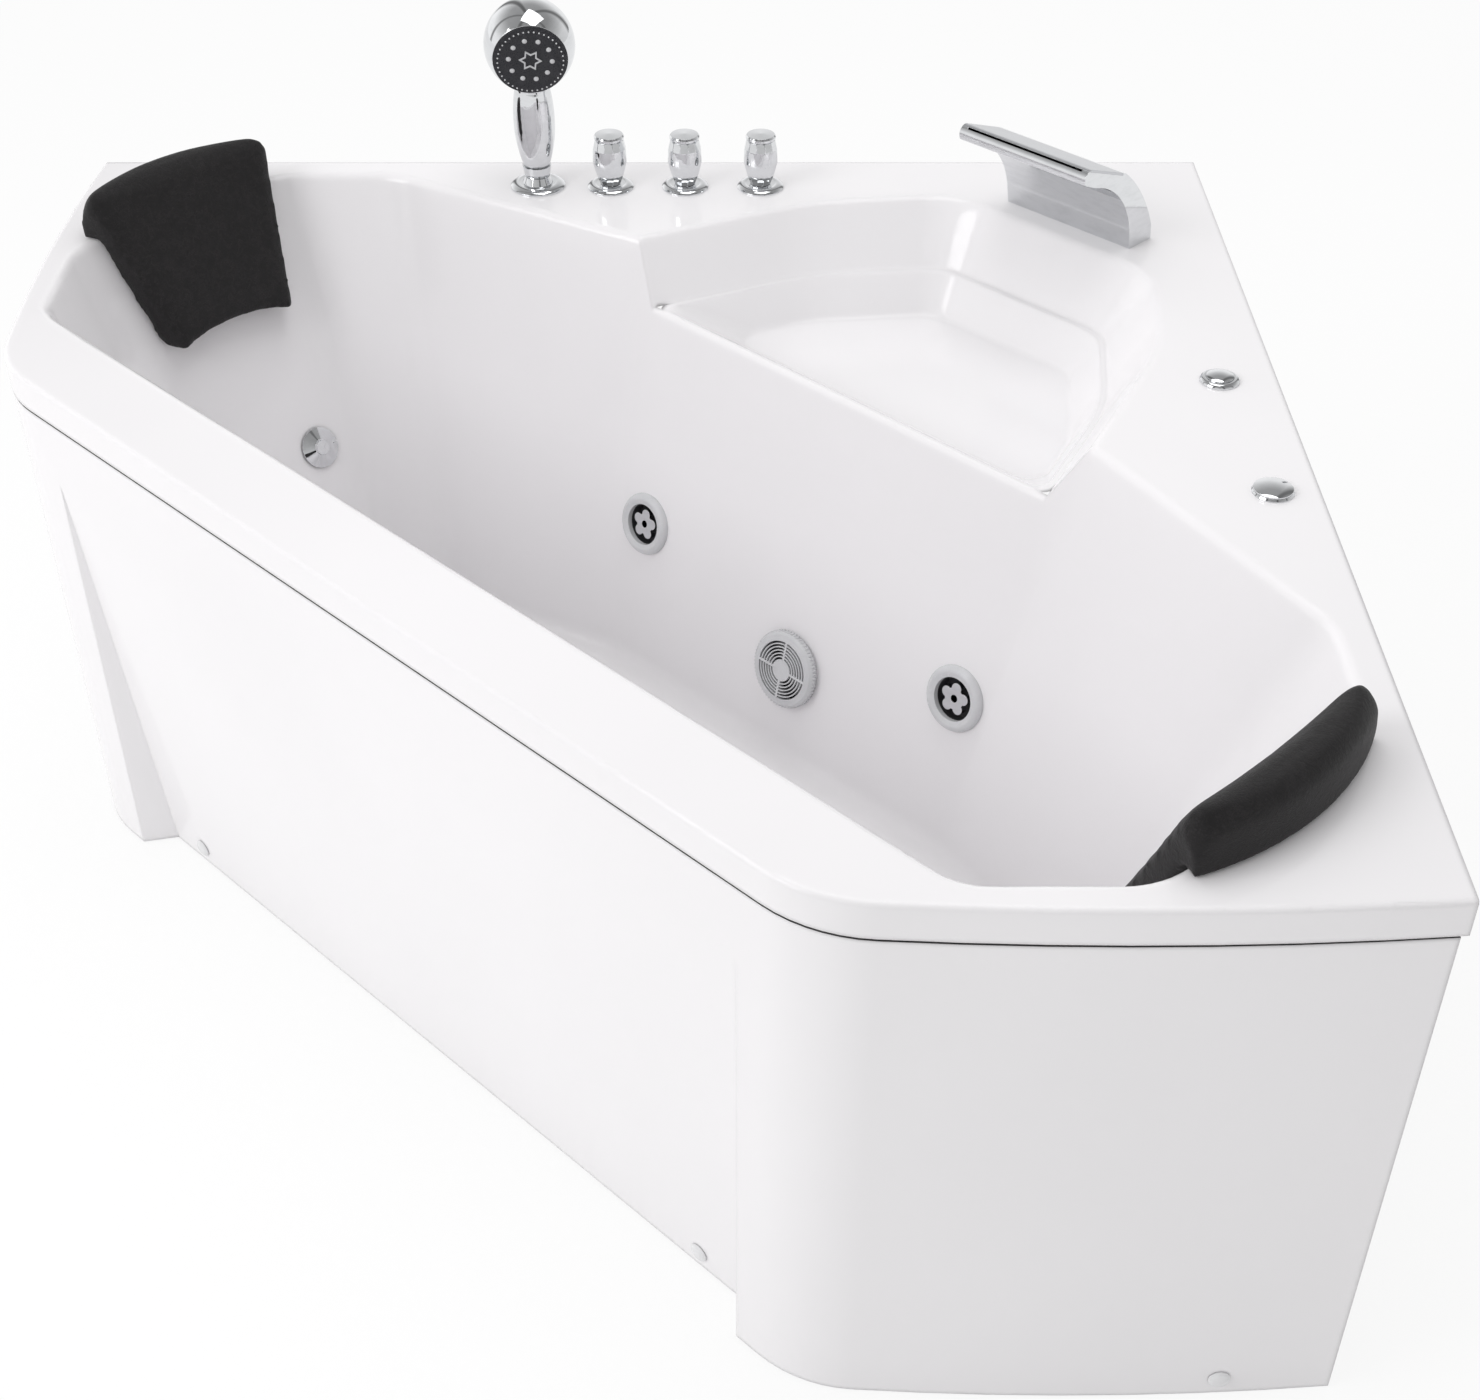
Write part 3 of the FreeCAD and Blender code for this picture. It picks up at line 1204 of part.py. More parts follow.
# ------------------------------------------------------------------ drain
drain_flange = turned([(drain_bore, trap_top - floor_height), (drain_barrel_radius, trap_top - floor_height),
                       (drain_barrel_radius, 0), (drain_flange_radius, 0), (drain_flange_radius, 1.5),
                       (drain_flange_radius - 2, 3.5), (drain_plug_radius + part_gap, 3.5),
                       (drain_plug_radius + part_gap, 1.5), (drain_bore, 1.5)])
arms = [block(drain_stem_radius + 1, drain_bore + 1, -1.5, 1.5, -18, -12).rotate(V(0, 0, 0), UP, 120.0 * k)
        for k in range(3)]
drain_hub = ring(drain_stem_radius + 3.5, drain_stem_radius + turn_gap, -18, -12)
drain_flange = drain_flange.fuse(arms + [drain_hub]).removeSplitter()
add("drain_flange", placed(drain_flange, drain_point))
plug_seat = 1.5 + part_gap
drain_plug = turned([(0, plug_seat), (drain_plug_radius, plug_seat), (drain_plug_radius, plug_seat + 1.2),
                     dome(drain_plug_radius, plug_seat + 1.2, plug_seat + 5.0)])
drain_plug = drain_plug.fuse(rod(drain_stem_radius, -drain_stem_length, plug_seat)).removeSplitter()
add("drain_plug", placed(drain_plug, drain_point))


def make_trap():
    """Waste body under the drain with its long outlet towards the +Y wall and the overflow's inlet."""
    x, y = drain_point.x, drain_point.y
    outlet_end = half - waste_reach
    outlet_at = V(x, y, waste_pipe_height)
    inlet_at = V(x, y, overflow_entry_height)
    outlet_way = V(0, 1, 0)
    inlet_way = at(0, -1)
    outer = rod(trap_radius, trap_bottom, trap_top, x, y).fuse([
        Part.makeCylinder(waste_pipe_radius, outlet_end - y, outlet_at, outlet_way),
        Part.makeCylinder(waste_collar_radius, trap_radius + waste_collar_reach, outlet_at, outlet_way),
        Part.makeCylinder(waste_pipe_radius, spigot_reach, inlet_at, inlet_way)]).removeSplitter()
    bore = waste_pipe_radius - pipe_wall
    return outer.cut([
        rod(trap_radius - trap_wall, trap_bottom + trap_wall, trap_top - trap_wall, x, y),
        rod(drain_bore, trap_bottom + trap_wall, trap_top + 1, x, y),
        Part.makeCylinder(bore, outlet_end - y + 1, outlet_at, outlet_way),
        Part.makeCylinder(bore, spigot_reach + 1, inlet_at, inlet_way)])


add("drain_body", make_trap())


def wall_nut(barrel, thick):
    return ring(barrel + 9, barrel, -thick - jet_nut_height, -thick)


add("wall_nuts", placed(wall_nut(suction_barrel_radius, seat_wall_thick), suction_point, seat_normal),
    *[placed(wall_nut(jet_barrel_radius, seat_wall_thick), point, seat_normal) for point in jet_points],
    placed(wall_nut(overflow_barrel_radius, head_wall_thick), overflow_point, overflow_normal),
    placed(wall_nut(drain_barrel_radius, shell_wall), drain_point))

# ------------------------------------------------------------------ pump
along = at(1, 0)
suction_s = (suction_point.x + suction_point.y) / ROOT2
pump_height = suction_height - seat_slope * (pump_bend_place - suction_s)


def on_pump(s, rise=0.0):
    return at(s, suction_place, pump_height + rise)


def pump_block(s0, s1, half_width, z0, z1):
    return placed(block(s0 - pump_place, s1 - pump_place, -half_width, half_width, z0, z1),
                  at(pump_place, suction_place), UP, 45.0)


volute_middle = pump_place - volute_length / 2.0
outlet_rise = volute_radius + 6.0
outlet_foot = on_pump(volute_middle)
housing = Part.makeCylinder(volute_radius, volute_length, on_pump(pump_place - volute_length), along)
housing = housing.fuse([
    Part.makeCylinder(pipe_radius, pump_place - volute_length - pump_inlet_place,
                      on_pump(pump_inlet_place), along),
    Part.makeCylinder(jet_pipe_radius, outlet_rise, outlet_foot, UP)]).removeSplitter()
housing = housing.cut([
    Part.makeCylinder(pipe_radius - pipe_wall, pump_place - pump_inlet_place - 11,
                      on_pump(pump_inlet_place - 1), along),
    Part.makeCylinder(jet_pipe_radius - pipe_wall, outlet_rise + 1, outlet_foot, UP)])
add("pump_housing", housing)
motor = Part.makeCylinder(motor_radius, motor_length, on_pump(pump_place), along)
far_edges = [edge for edge in motor.Edges if edge.Closed
             and (edge.Vertexes[0].Point - on_pump(pump_place)).dot(along) > motor_length / 2]
motor = motor.makeChamfer(motor_chamfer, far_edges)
fins = []
for k in range(motor_fins):
    fin = block(30.0, motor_length - 30.0, motor_radius - 2, motor_radius + fin_height, -1.5, 1.5)
    fin.rotate(V(0, 0, 0), V(1, 0, 0), 360.0 * (k + 0.5) / motor_fins)
    fins.append(placed(fin, on_pump(pump_place), UP, 45.0))
leg_top = pump_height - motor_radius + 12
motor_end = pump_place + motor_length
pump_foot_start = cross_rail_places[3] - rail_size / 2.0
switch_top = pump_height + motor_radius + switch_height
switch_start = pump_place + 60.0
motor = motor.fuse(fins + [
    pump_block(pump_foot_start, motor_end - 30.0, 45.0, rail_top, rail_top + pump_foot_wall),
    pump_block(pump_place + 24.0, pump_place + 34.0, 36.0, rail_top, leg_top),
    pump_block(motor_end - 44.0, motor_end - 34.0, 36.0, rail_top, leg_top),
    pump_block(switch_start, switch_start + switch_length, switch_width / 2.0,
               pump_height + motor_radius - 6, switch_top),
    Part.makeCylinder(gland_radius, gland_length + switch_width / 2.0,
                      on_pump(switch_start + switch_length / 2.0, motor_radius + switch_height / 2.0),
                      along.cross(UP) * -1)]).removeSplitter()
add("pump_motor", motor)

# ------------------------------------------------------------------ pipes
suction_back = suction_point - seat_normal * suction_barrel_length
suction_pipe = tube([suction_back, on_pump(pump_bend_place), on_pump(pump_inlet_place)],
                    pipe_radius, 30.0, pipe_wall)
branch_start = jet_barrel_length + jet_tail_length
jet_pipe_line = [point - seat_normal * jet_pipe_set for point in jet_points]
jet_pipe_level = jet_pipe_line[0].z
jet_pipe_s = (jet_pipe_line[0].x + jet_pipe_line[0].y) / ROOT2
jet_pipe_half = jet_place + 26.0


def jet_pipe_solid(main, branch):
    """Pipe behind both jets with its branches and the bend down to the pump, solid or bore."""
    inset = jet_pipe_radius - main
    rise = outlet_rise + pump_outlet_rise
    bend = tube([on_pump(volute_middle, outlet_rise), on_pump(volute_middle, rise),
                 on_pump(jet_pipe_s, rise), V(*on_pump(jet_pipe_s)[:2], jet_pipe_level)], main, 22.0)
    branches = [Part.makeCylinder(branch, jet_pipe_set - branch_start, point - seat_normal * branch_start,
                                  seat_normal * -1) for point in jet_points]
    run = Part.makeCylinder(main + jet_run_step, 2 * (jet_pipe_half - inset),
                            at(jet_pipe_s, inset - jet_pipe_half, jet_pipe_level), at(0, 1))
    return run.fuse(branches + [bend]).removeSplitter()


jet_pipes = jet_pipe_solid(jet_pipe_radius, jet_tail_radius).cut(
    jet_pipe_solid(jet_pipe_radius - pipe_wall, jet_tail_radius - pipe_wall))
add("water_pipes", suction_pipe, jet_pipes)

uphill = (UP - seat_normal * UP.dot(seat_normal)).normalize()
air_taps = [point - seat_normal * jet_air_place for point in jet_points]
air_run_point = air_taps[0] + uphill * air_pipe_set
air_run_s = (air_run_point.x + air_run_point.y) / ROOT2
air_foot = V(air_place[0], air_place[1], rim_height - air_barrel_length - hose_tail)
air_inner_x = air_foot.x - air_step_in
air_route = [air_foot, V(air_foot.x, air_foot.y, air_step_height),
             V(air_inner_x, air_foot.y, air_step_height - air_step_in), V(air_inner_x, air_foot.y, air_run_point.z),
             at(air_run_s, air_turn_place, air_run_point.z),
             at(air_run_s, -jet_place - 2 * air_pipe_radius, air_run_point.z)]
tap_start = jet_barrel_radius + jet_tail_length
air_stubs = [Part.makeCylinder(air_pipe_radius, air_pipe_set - tap_start, tap + uphill * tap_start, uphill)
             for tap in air_taps]
air_pipe = tube(air_route, air_pipe_radius, 40.0).fuse(air_stubs).removeSplitter()
air_bores = [Part.makeCylinder(air_pipe_radius - 2, air_pipe_set - tap_start + 1,
                               tap + uphill * (tap_start - 1), uphill) for tap in air_taps]
air_pipe = air_pipe.cut([tube(air_route[:-1] + [at(air_run_s, -jet_place, air_run_point.z)],
                              air_pipe_radius - 2, 40.0)] + air_bores)
button_foot = V(button_place[0], button_place[1], rim_height - button_barrel_length - hose_tail)
switch_level = switch_top - switch_height / 2.0
button_s = (button_place[0] + button_place[1]) / ROOT2
button_tube = tube([button_foot, V(button_foot.x, button_foot.y, switch_level),
                    at(button_s, suction_place + switch_width / 2.0, switch_level)], air_tube_radius, 60.0)
add("air_pipes", air_pipe, button_tube)

os.makedirs("parts", exist_ok=True)
for name, shape in nodes.items():
    shape.exportStep("parts/" + name + ".step")
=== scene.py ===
"""Looks of the corner bathtub: finishes, headrest pillows, fine fittings, light and camera."""
import bpy
import bmesh
import json
import math
from mathutils import Vector, Matrix
from mathutils.bvhtree import BVHTree

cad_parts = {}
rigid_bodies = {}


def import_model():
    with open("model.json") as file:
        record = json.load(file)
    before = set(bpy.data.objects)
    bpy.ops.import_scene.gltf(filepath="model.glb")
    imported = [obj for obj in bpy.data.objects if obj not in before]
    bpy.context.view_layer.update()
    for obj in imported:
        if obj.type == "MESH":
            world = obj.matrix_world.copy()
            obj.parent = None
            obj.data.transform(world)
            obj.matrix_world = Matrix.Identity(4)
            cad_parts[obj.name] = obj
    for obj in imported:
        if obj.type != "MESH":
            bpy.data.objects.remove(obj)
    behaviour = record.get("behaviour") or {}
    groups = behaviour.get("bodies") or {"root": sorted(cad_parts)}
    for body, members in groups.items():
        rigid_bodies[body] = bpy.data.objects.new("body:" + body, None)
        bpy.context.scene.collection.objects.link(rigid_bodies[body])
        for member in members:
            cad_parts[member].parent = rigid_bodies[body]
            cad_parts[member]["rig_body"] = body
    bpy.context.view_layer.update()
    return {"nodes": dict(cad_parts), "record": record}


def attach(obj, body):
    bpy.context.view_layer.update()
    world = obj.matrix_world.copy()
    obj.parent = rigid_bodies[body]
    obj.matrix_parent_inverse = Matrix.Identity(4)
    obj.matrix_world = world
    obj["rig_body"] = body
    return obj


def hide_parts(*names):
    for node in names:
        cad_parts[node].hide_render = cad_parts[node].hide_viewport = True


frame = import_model()
scene = bpy.context.scene

# ------------------------------------------------------------------ sizes in metres, tilts and turns in degrees
rim_height = 0.645
lip_foot = 0.608
lip_margin = 0.002
rim_margin = 0.001
wall_side_start = 0.69
# level faces within this band round the lip's foot are coloured dark: painted shade for the gap under the lip
painted_gap_shade_below = 0.0035
painted_gap_shade_above = 0.0005
basin_corner_radius = 0.085
headrest_place = 0.797           # the opening's edge behind the head, across the diagonal
headrest_slope = 0.225 / 0.515
pillow_half = 0.129
pillow_half_outer = 0.136
pillow_half_flat = 0.092
pillow_half_low = 0.092
pillow_end_spread = 0.38
pillow_end_flare = 0.08
pillow_corner = 0.019
pillow_top = 0.708
pillow_foot = 0.508
pillow_foot_rise = 0.013
pillow_outer_reach = 0.042
pillow_outer_curve = 0.029
pillow_brow = 0.0015
pillow_wrap = 0.009
pillow_top_fall = 0.005
pillow_front_lean = 0.48
pillow_gap = 0.0006
pillow_inset = 0.0022            # the form is drawn this far inside the pad's outline, before it swells
pillow_sections = 48
pillow_voxel = 0.0042
pillow_pressure = 4.0
pillow_swell = 0.0026            # no point of the skin moves further than this
pillow_clear = 0.0007            # kept between the pad and the acrylic
cloth_frames = 20
crest_round = 0.014
foot_round = 0.008
heel_round = 0.004
edge_round = 0.002
lip_round = 0.004
back_round = 0.006
crown_round = 0.009
head_centre = Vector((-0.131, 0.630, 0.823))
face_offset = 0.032
face_tilt = 12.0
face_turn = 5.6
fine_nozzle_circle = 0.0392
fine_nozzle_count = 40
fine_nozzle_radius = 0.00105
fine_nozzle_start = 0.004        # in front of the face's offset
seat_slope = 0.129 / 0.515
suction_from_middle = 0.2415     # towards the room corner
suction_place = 0.014
suction_height = 0.243
suction_radius = 0.047
suction_rib_count = 64
suction_rib_radius = 0.0011
suction_rib_length = 0.0068
suction_rib_middle = 0.007

camera_place = (0.1214, -1.9268, 1.7885)
camera_pitch = 50.03
camera_lens = 52.37              # in millimetres, on a sensor 36 mm wide
camera_shift = 0.0661
floor_reach = 30.0
studio_front = 0.60              # strength of the surroundings behind the camera
studio_back = 1.12
studio_top = 0.80

ROOT2 = math.sqrt(2.0)
UP = Vector((0, 0, 1))


def at(s, d, z=0.0):
    """Point from the diagonal's own coordinates."""
    return Vector(((s + d) / ROOT2, (s - d) / ROOT2, z))


# ------------------------------------------------------------------ shader arithmetic
class Value:
    """A socket inside a finish that takes part in plain sums."""

    def __init__(self, finish, socket):
        self.finish = finish
        self.socket = socket

    def sum(self, operation, first, second=0.0):
        """One Math node on numbers or sockets."""
        return self.finish.node("ShaderNodeMath", {"operation": operation}, {0: first, 1: second})

    def __add__(self, other):
        return self.sum("ADD", self, other)

    def __radd__(self, other):
        return self.sum("ADD", other, self)

    def __sub__(self, other):
        return self.sum("SUBTRACT", self, other)

    def __rsub__(self, other):
        return self.sum("SUBTRACT", other, self)

    def __mul__(self, other):
        return self.sum("MULTIPLY", self, other)

    def __rmul__(self, other):
        return self.sum("MULTIPLY", other, self)

    def __abs__(self):
        return self.sum("ABSOLUTE", self)

    def or_more(self, other):
        """The larger of two values."""
        return self.sum("MAXIMUM", self, other)


class Finish:
    """One procedural finish of a material, or of the world around: its node tree, grown node by node."""

    def __init__(self, name, world=None):
        self.owner = world or bpy.data.materials.new(name)
        self.owner.use_nodes = True
        self.tree = self.owner.node_tree
        self.tree.nodes.clear()
        self.place = None

    def node(self, kind, settings=None, inputs=None, out=0):
        """Adds a node with its settings and its sockets' values or links; gives one of its outputs."""
        made = self.tree.nodes.new(kind)
        for key, value in (settings or {}).items():
            setattr(made, key, value)
        for key, value in (inputs or {}).items():
            if isinstance(value, Value):
                self.tree.links.new(value.socket, made.inputs[key])
            elif isinstance(value, (tuple, list, Vector)) and made.inputs[key].type == "RGBA":
                made.inputs[key].default_value = (*value[:3], 1)
            else:
                made.inputs[key].default_value = value
        return Value(self, made.outputs[out]) if len(made.outputs) else made

    def point(self, stretch=(1, 1, 1), turn=(0, 0, 0)):
        """Object coordinates, stretched or turned for a pattern with a direction."""
        if self.place is None:
            self.place = self.node("ShaderNodeTexCoord", out="Object")
        if stretch == (1, 1, 1) and turn == (0, 0, 0):
            return self.place
        return self.node("ShaderNodeMapping", None,
                         {"Vector": self.place, "Rotation": turn, "Scale": stretch})

    def noise(self, size, detail=3.0, rough=0.55, stretch=(1, 1, 1), turn=(0, 0, 0), warp=0.0):
        """Cloudy pattern with features of a size in metres."""
        return self.node("ShaderNodeTexNoise", None,
                         {"Vector": self.point(stretch, turn), "Scale": 1.0 / size, "Detail": detail,
                          "Roughness": rough, "Distortion": warp})

    def cells(self, size, feature="F1", out="Distance", stretch=(1, 1, 1), turn=(0, 0, 0)):
        """Cell pattern with cells of a size in metres."""
        return self.node("ShaderNodeTexVoronoi", {"feature": feature},
                         {"Vector": self.point(stretch, turn), "Scale": 1.0 / size}, out)

    def spread(self, value, low, high, bottom=0.0, top=1.0):
        """Stretches a range of a value onto another range, held at both ends."""
        return self.node("ShaderNodeMapRange", {"clamp": True},
                         {"Value": value, "From Min": low, "From Max": high,
                          "To Min": bottom, "To Max": top})

    def mix(self, share, first, second):
        """Blend of two colours."""
        return self.node("ShaderNodeMix", {"data_type": "RGBA"}, {0: share, 6: first, 7: second}, 2)

    def bump(self, height, depth, strength, under=None):
        """Surface relief of a depth in metres, over another relief where one is given."""
        inputs = {"Height": height, "Distance": depth, "Strength": strength}
        if under is not None:
            inputs["Normal"] = under
        return self.node("ShaderNodeBump", None, inputs)

    def soft_edges(self, radius):
        """Normal that rounds hard edges off by a small radius in metres."""
        return self.node("ShaderNodeBevel", {"samples": 6}, {"Radius": radius})

    def shade(self, **sockets):
        """Ends the finish in its shader, its sockets named in words joined by underscores; gives the material."""
        inputs = {key.replace("_", " "): value for key, value in sockets.items()}
        result = self.node("ShaderNodeBsdfPrincipled", None, inputs)
        self.node("ShaderNodeOutputMaterial", None, {"Surface": result})
        return self.owner


# ------------------------------------------------------------------ finishes, each made in f
def white_acrylic():
    """Vacuum-formed sanitary acrylic: glossy, very slightly rippled, with fine wiping marks."""
    f = Finish("white_acrylic")
    tint = (0.884, 0.870, 0.884)
    ripple = f.noise(0.085, 2.0, 0.4)
    peel = f.noise(0.0026, 2.0, 0.5)
    wiping = f.spread(f.noise(0.012, 4.0, 0.6, (1, 6, 1), (0, 0, 0.7)), 0.52, 0.78)
    cloud = f.spread(f.noise(0.42, 3.0, 0.5), 0.3, 0.7)
    dull = tuple(part * 0.972 for part in tint)
    relief = f.bump(peel, 0.00001, 0.5, f.bump(ripple, 0.0007, 0.3, f.soft_edges(0.008)))
    return f.shade(Base_Color=f.mix(cloud, tint, dull), Roughness=0.075 + wiping * 0.05 + cloud * 0.02,
                   IOR=1.49, Normal=relief)


def glass_fibre():
    """Sprayed chopped-strand backing of the acrylic: uneven, resin-rich and matt."""
    f = Finish("glass_fibre_backing")
    strands = [f.spread(f.cells(0.006, "DISTANCE_TO_EDGE", stretch=(1, 9, 9), turn=(0.3, 0.5 * k, 1.1 * k)),
                        0.0, 0.12, 1.0, 0.0) for k in range(3)]
    fibres = strands[0] * 0.34 + strands[1] * 0.33 + strands[2] * 0.33
    lumps = f.noise(0.03, 4.0, 0.6)
    resin = f.mix(f.spread(lumps, 0.35, 0.7), (0.60, 0.59, 0.50), (0.74, 0.74, 0.68))
    colour = f.mix(f.spread(fibres, 0.15, 0.8), resin, (0.82, 0.82, 0.78))
    relief = f.bump(fibres, 0.0009, 0.6, f.bump(lumps, 0.004, 0.5))
    return f.shade(Base_Color=colour, Roughness=0.42 + lumps * 0.3, IOR=1.52, Normal=relief)


def chrome():
    """Bright chrome plate with faint smears and water marks."""
    f = Finish("chrome")
    smear = f.spread(f.noise(0.02, 4.0, 0.6, (1, 1, 3)), 0.45, 0.8)
    marks = f.spread(f.cells(0.007), 0.0, 0.12, 1.0, 0.0) * f.spread(f.noise(0.03), 0.5, 0.65)
    orange = f.noise(0.006, 2.0, 0.5)
    colour = f.mix(smear, (0.74, 0.75, 0.765), (0.67, 0.68, 0.695))
    return f.shade(Base_Color=colour, Metallic=1.0, Roughness=0.035 + smear * 0.05 + marks * 0.06,
                   Normal=f.bump(orange, 0.00002, 0.5, f.soft_edges(0.0006)))


def brushed():
    """Stainless plate brushed along its length, across the diagonal."""
    f = Finish("brushed_plate")
    along = (0, 0, math.radians(45.0))
    lines = f.noise(0.0009, 3.0, 0.7, (0.015, 1, 1), along)
    broad = f.noise(0.02, 3.0, 0.5, (0.1, 1, 1), along)
    colour = f.mix(lines, (0.50, 0.51, 0.53), (0.66, 0.67, 0.69))
    return f.shade(Base_Color=colour, Metallic=1.0, Roughness=0.2 + lines * 0.16 + broad * 0.06,
                   Normal=f.bump(lines, 0.00004, 0.5, f.soft_edges(0.0007)))


def moulded(name, colour, shade, rough, grain, depth, metal=0.0):
    """Moulded or painted piece with a fine grain and a faint change of tone."""
    f = Finish(name)
    fine = f.noise(grain, 3.0, 0.6)
    tone = f.spread(f.noise(grain * 30, 3.0, 0.5), 0.3, 0.72)
    scuff = f.spread(f.noise(grain * 9, 5.0, 0.65, (1, 4, 1), (0.2, 0.4, 0.9)), 0.6, 0.82)
    return f.shade(Base_Color=f.mix(tone, colour, shade), Metallic=metal,
                   Roughness=rough + fine * 0.08 + scuff * 0.1, IOR=1.5,
                   Normal=f.bump(fine, depth, 0.5, f.soft_edges(0.0006)))


def pillow_skin():
    """Self-skinned foam with a fine leather grain, pebbled, with shallow wandering creases."""
    f = Finish("pillow_skin")
    pebbles = f.cells(0.0017, "SMOOTH_F1")
    furrows = f.spread(f.cells(0.0021, "DISTANCE_TO_EDGE"), 0.0, 0.16)
    creases = f.spread(f.noise(0.011, 4.0, 0.62, warp=1.4), 0.42, 0.6)
    broad = f.noise(0.045, 3.0, 0.5)
    tone = f.spread(creases * 0.55 + broad * 0.45, 0.25, 0.8)
    base = f.mix(tone, (0.0100, 0.0090, 0.0096), (0.0200, 0.0181, 0.0191))
    colour = f.mix(furrows, (0.0080, 0.0072, 0.0077), base)
    relief = f.bump(furrows, 0.00022, 0.55, f.bump(creases, 0.0005, 0.4, f.bump(pebbles, 0.0002, 0.4)))
    return f.shade(Base_Color=colour, Roughness=0.56 + pebbles * 0.08 + creases * 0.06, IOR=1.38,
                   Sheen_Weight=0.05, Sheen_Roughness=0.45, Normal=relief)


def galvanised():
    """Zinc-coated steel tube: spangled, dulled and lightly streaked."""
    f = Finish("galvanised_tube")
    spangle = f.cells(0.012, "F1", "Color")
    grey = f.node("ShaderNodeSeparateColor", None, {"Color": spangle})
    dull = f.spread(f.noise(0.05, 5.0, 0.6), 0.35, 0.75)
    streak = f.spread(f.noise(0.004, 3.0, 0.6, (1, 1, 0.08)), 0.55, 0.8)
    colour = f.mix(grey, (0.46, 0.48, 0.50), (0.62, 0.64, 0.66))
    colour = f.mix(dull * 0.6, colour, (0.42, 0.43, 0.44))
    return f.shade(Base_Color=colour, Metallic=0.85,
                   Roughness=0.34 + grey * 0.1 + dull * 0.16 + streak * 0.08,
                   Normal=f.bump(grey, 0.00005, 0.4, f.soft_edges(0.0012)))


def cast_brass():
    """Cast and turned brass, a little tarnished."""
    f = Finish("cast_brass")
    sand = f.noise(0.0012, 3.0, 0.6)
    tarnish = f.spread(f.noise(0.02, 5.0, 0.65), 0.42, 0.75)
    colour = f.mix(tarnish, (0.72, 0.52, 0.24), (0.43, 0.30, 0.15))
    return f.shade(Base_Color=colour, Metallic=1.0, Roughness=0.26 + tarnish * 0.2 + sand * 0.06,
                   Normal=f.bump(sand, 0.0001, 0.5, f.soft_edges(0.0006)))


def chipboard():
    """Pressed chipboard with flakes lying all ways."""
    f = Finish("pressed_board")
    small = f.cells(0.007, "F1", "Color", (1, 2.6, 3), (0, 0, 0.6))
    large = f.cells(0.009, "F1", "Color", (2.4, 1, 3), (0, 0, 0.3))
    flakes = f.node("ShaderNodeSeparateColor", None, {"Color": small})
    others = f.node("ShaderNodeSeparateColor", None, {"Color": large})
    edge = f.spread(f.cells(0.007, "DISTANCE_TO_EDGE", stretch=(1, 2.6, 3), turn=(0, 0, 0.6)), 0.0, 0.06)
    grain = f.noise(0.0011, 3.0, 0.6, (0.3, 1, 1))
    colour = f.mix(flakes * 0.6 + others * 0.4, (0.30, 0.19, 0.10), (0.57, 0.42, 0.26))
    colour = f.mix(edge, (0.20, 0.12, 0.065), colour)
    return f.shade(Base_Color=colour, Roughness=0.62 + grain * 0.2,
                   Normal=f.bump(edge + grain * 0.4, 0.0006, 0.5))


finishes = {
    "white_acrylic": white_acrylic(),
    "white_cap": moulded("white_cap", (0.80, 0.80, 0.81), (0.77, 0.77, 0.78), 0.2, 0.0012, 0.00003),
    "chrome": chrome(),
    "brushed": brushed(),
    "dark_face": moulded("dark_face", (0.014, 0.015, 0.019), (0.022, 0.023, 0.028), 0.24, 0.0007, 0.00008),
    "pale_plastic": moulded("pale_plastic", (0.66, 0.665, 0.68), (0.61, 0.615, 0.63), 0.22, 0.0009, 0.00003),
    "pillow_skin": pillow_skin(),
    "frame_steel": galvanised(),
    "zinc_steel": moulded("zinc_plate", (0.62, 0.63, 0.62), (0.50, 0.51, 0.50), 0.28, 0.001, 0.00005,
                          metal=1.0),
    "brass_body": cast_brass(),
    "board_wood": chipboard(),
    "grey_pipe": moulded("pipe_plastic", (0.42, 0.44, 0.46), (0.36, 0.38, 0.40), 0.34, 0.0015, 0.00006),
    "black_plastic": moulded("black_plastic", (0.040, 0.040, 0.043), (0.052, 0.052, 0.055), 0.4,
                             0.0008, 0.0001),
    "motor_grey": moulded("motor_paint", (0.10, 0.11, 0.125), (0.14, 0.15, 0.165), 0.38, 0.0013, 0.00016),
    "black_rubber": moulded("rubber", (0.022, 0.022, 0.022), (0.035, 0.034, 0.033), 0.66, 0.001, 0.00016),
}
backing = glass_fibre()
# dark colour for the level faces at the lip's foot: painted shade, standing in for the shadow in the gap under
# the lip
painted_gap_shade = moulded("painted_gap_shade", (0.12, 0.115, 0.115), (0.08, 0.078, 0.078), 0.6, 0.001, 0.0001)

slot_of = {entry["node"]: entry["material_slot"] for entry in frame["record"]["subparts"]}


# ------------------------------------------------------------------ pieces from the frame's own solids
def linked(name, mesh):
    """A new object in the scene with a mesh."""
    piece = bpy.data.objects.new(name, mesh)
    scene.collection.objects.link(piece)
    return piece


def merged(node):
    """An empty mesh, and a joined-up copy of a node's shape to fill it with."""
    mesh = bpy.data.meshes.new(node + "_mesh")
    shape = bmesh.new()
    shape.from_mesh(frame["nodes"][node].data)
    bmesh.ops.remove_doubles(shape, verts=shape.verts, dist=0.00001)
    return mesh, shape


def smoothed(mesh, shape, sharp):
    """Writes the shape to the mesh, smooth but for edges sharper than an angle in degrees."""
    limit = math.radians(sharp)
    for face in shape.faces:
        face.smooth = True
    for edge in shape.edges:
        edge.smooth = len(edge.link_faces) == 2 and edge.calc_face_angle(0) < limit
    shape.to_mesh(mesh)
    shape.free()


def is_painted_gap_shade(face):
    """Whether a level face lies at the foot of the lip, where the sheet is cut; such faces get a dark colour that
    is painted shade for the gap under the lip.
    """
    height = face.calc_center_median().z
    return abs(face.normal.z) > 0.9 and lip_foot - painted_gap_shade_below < height < lip_foot + painted_gap_shade_above


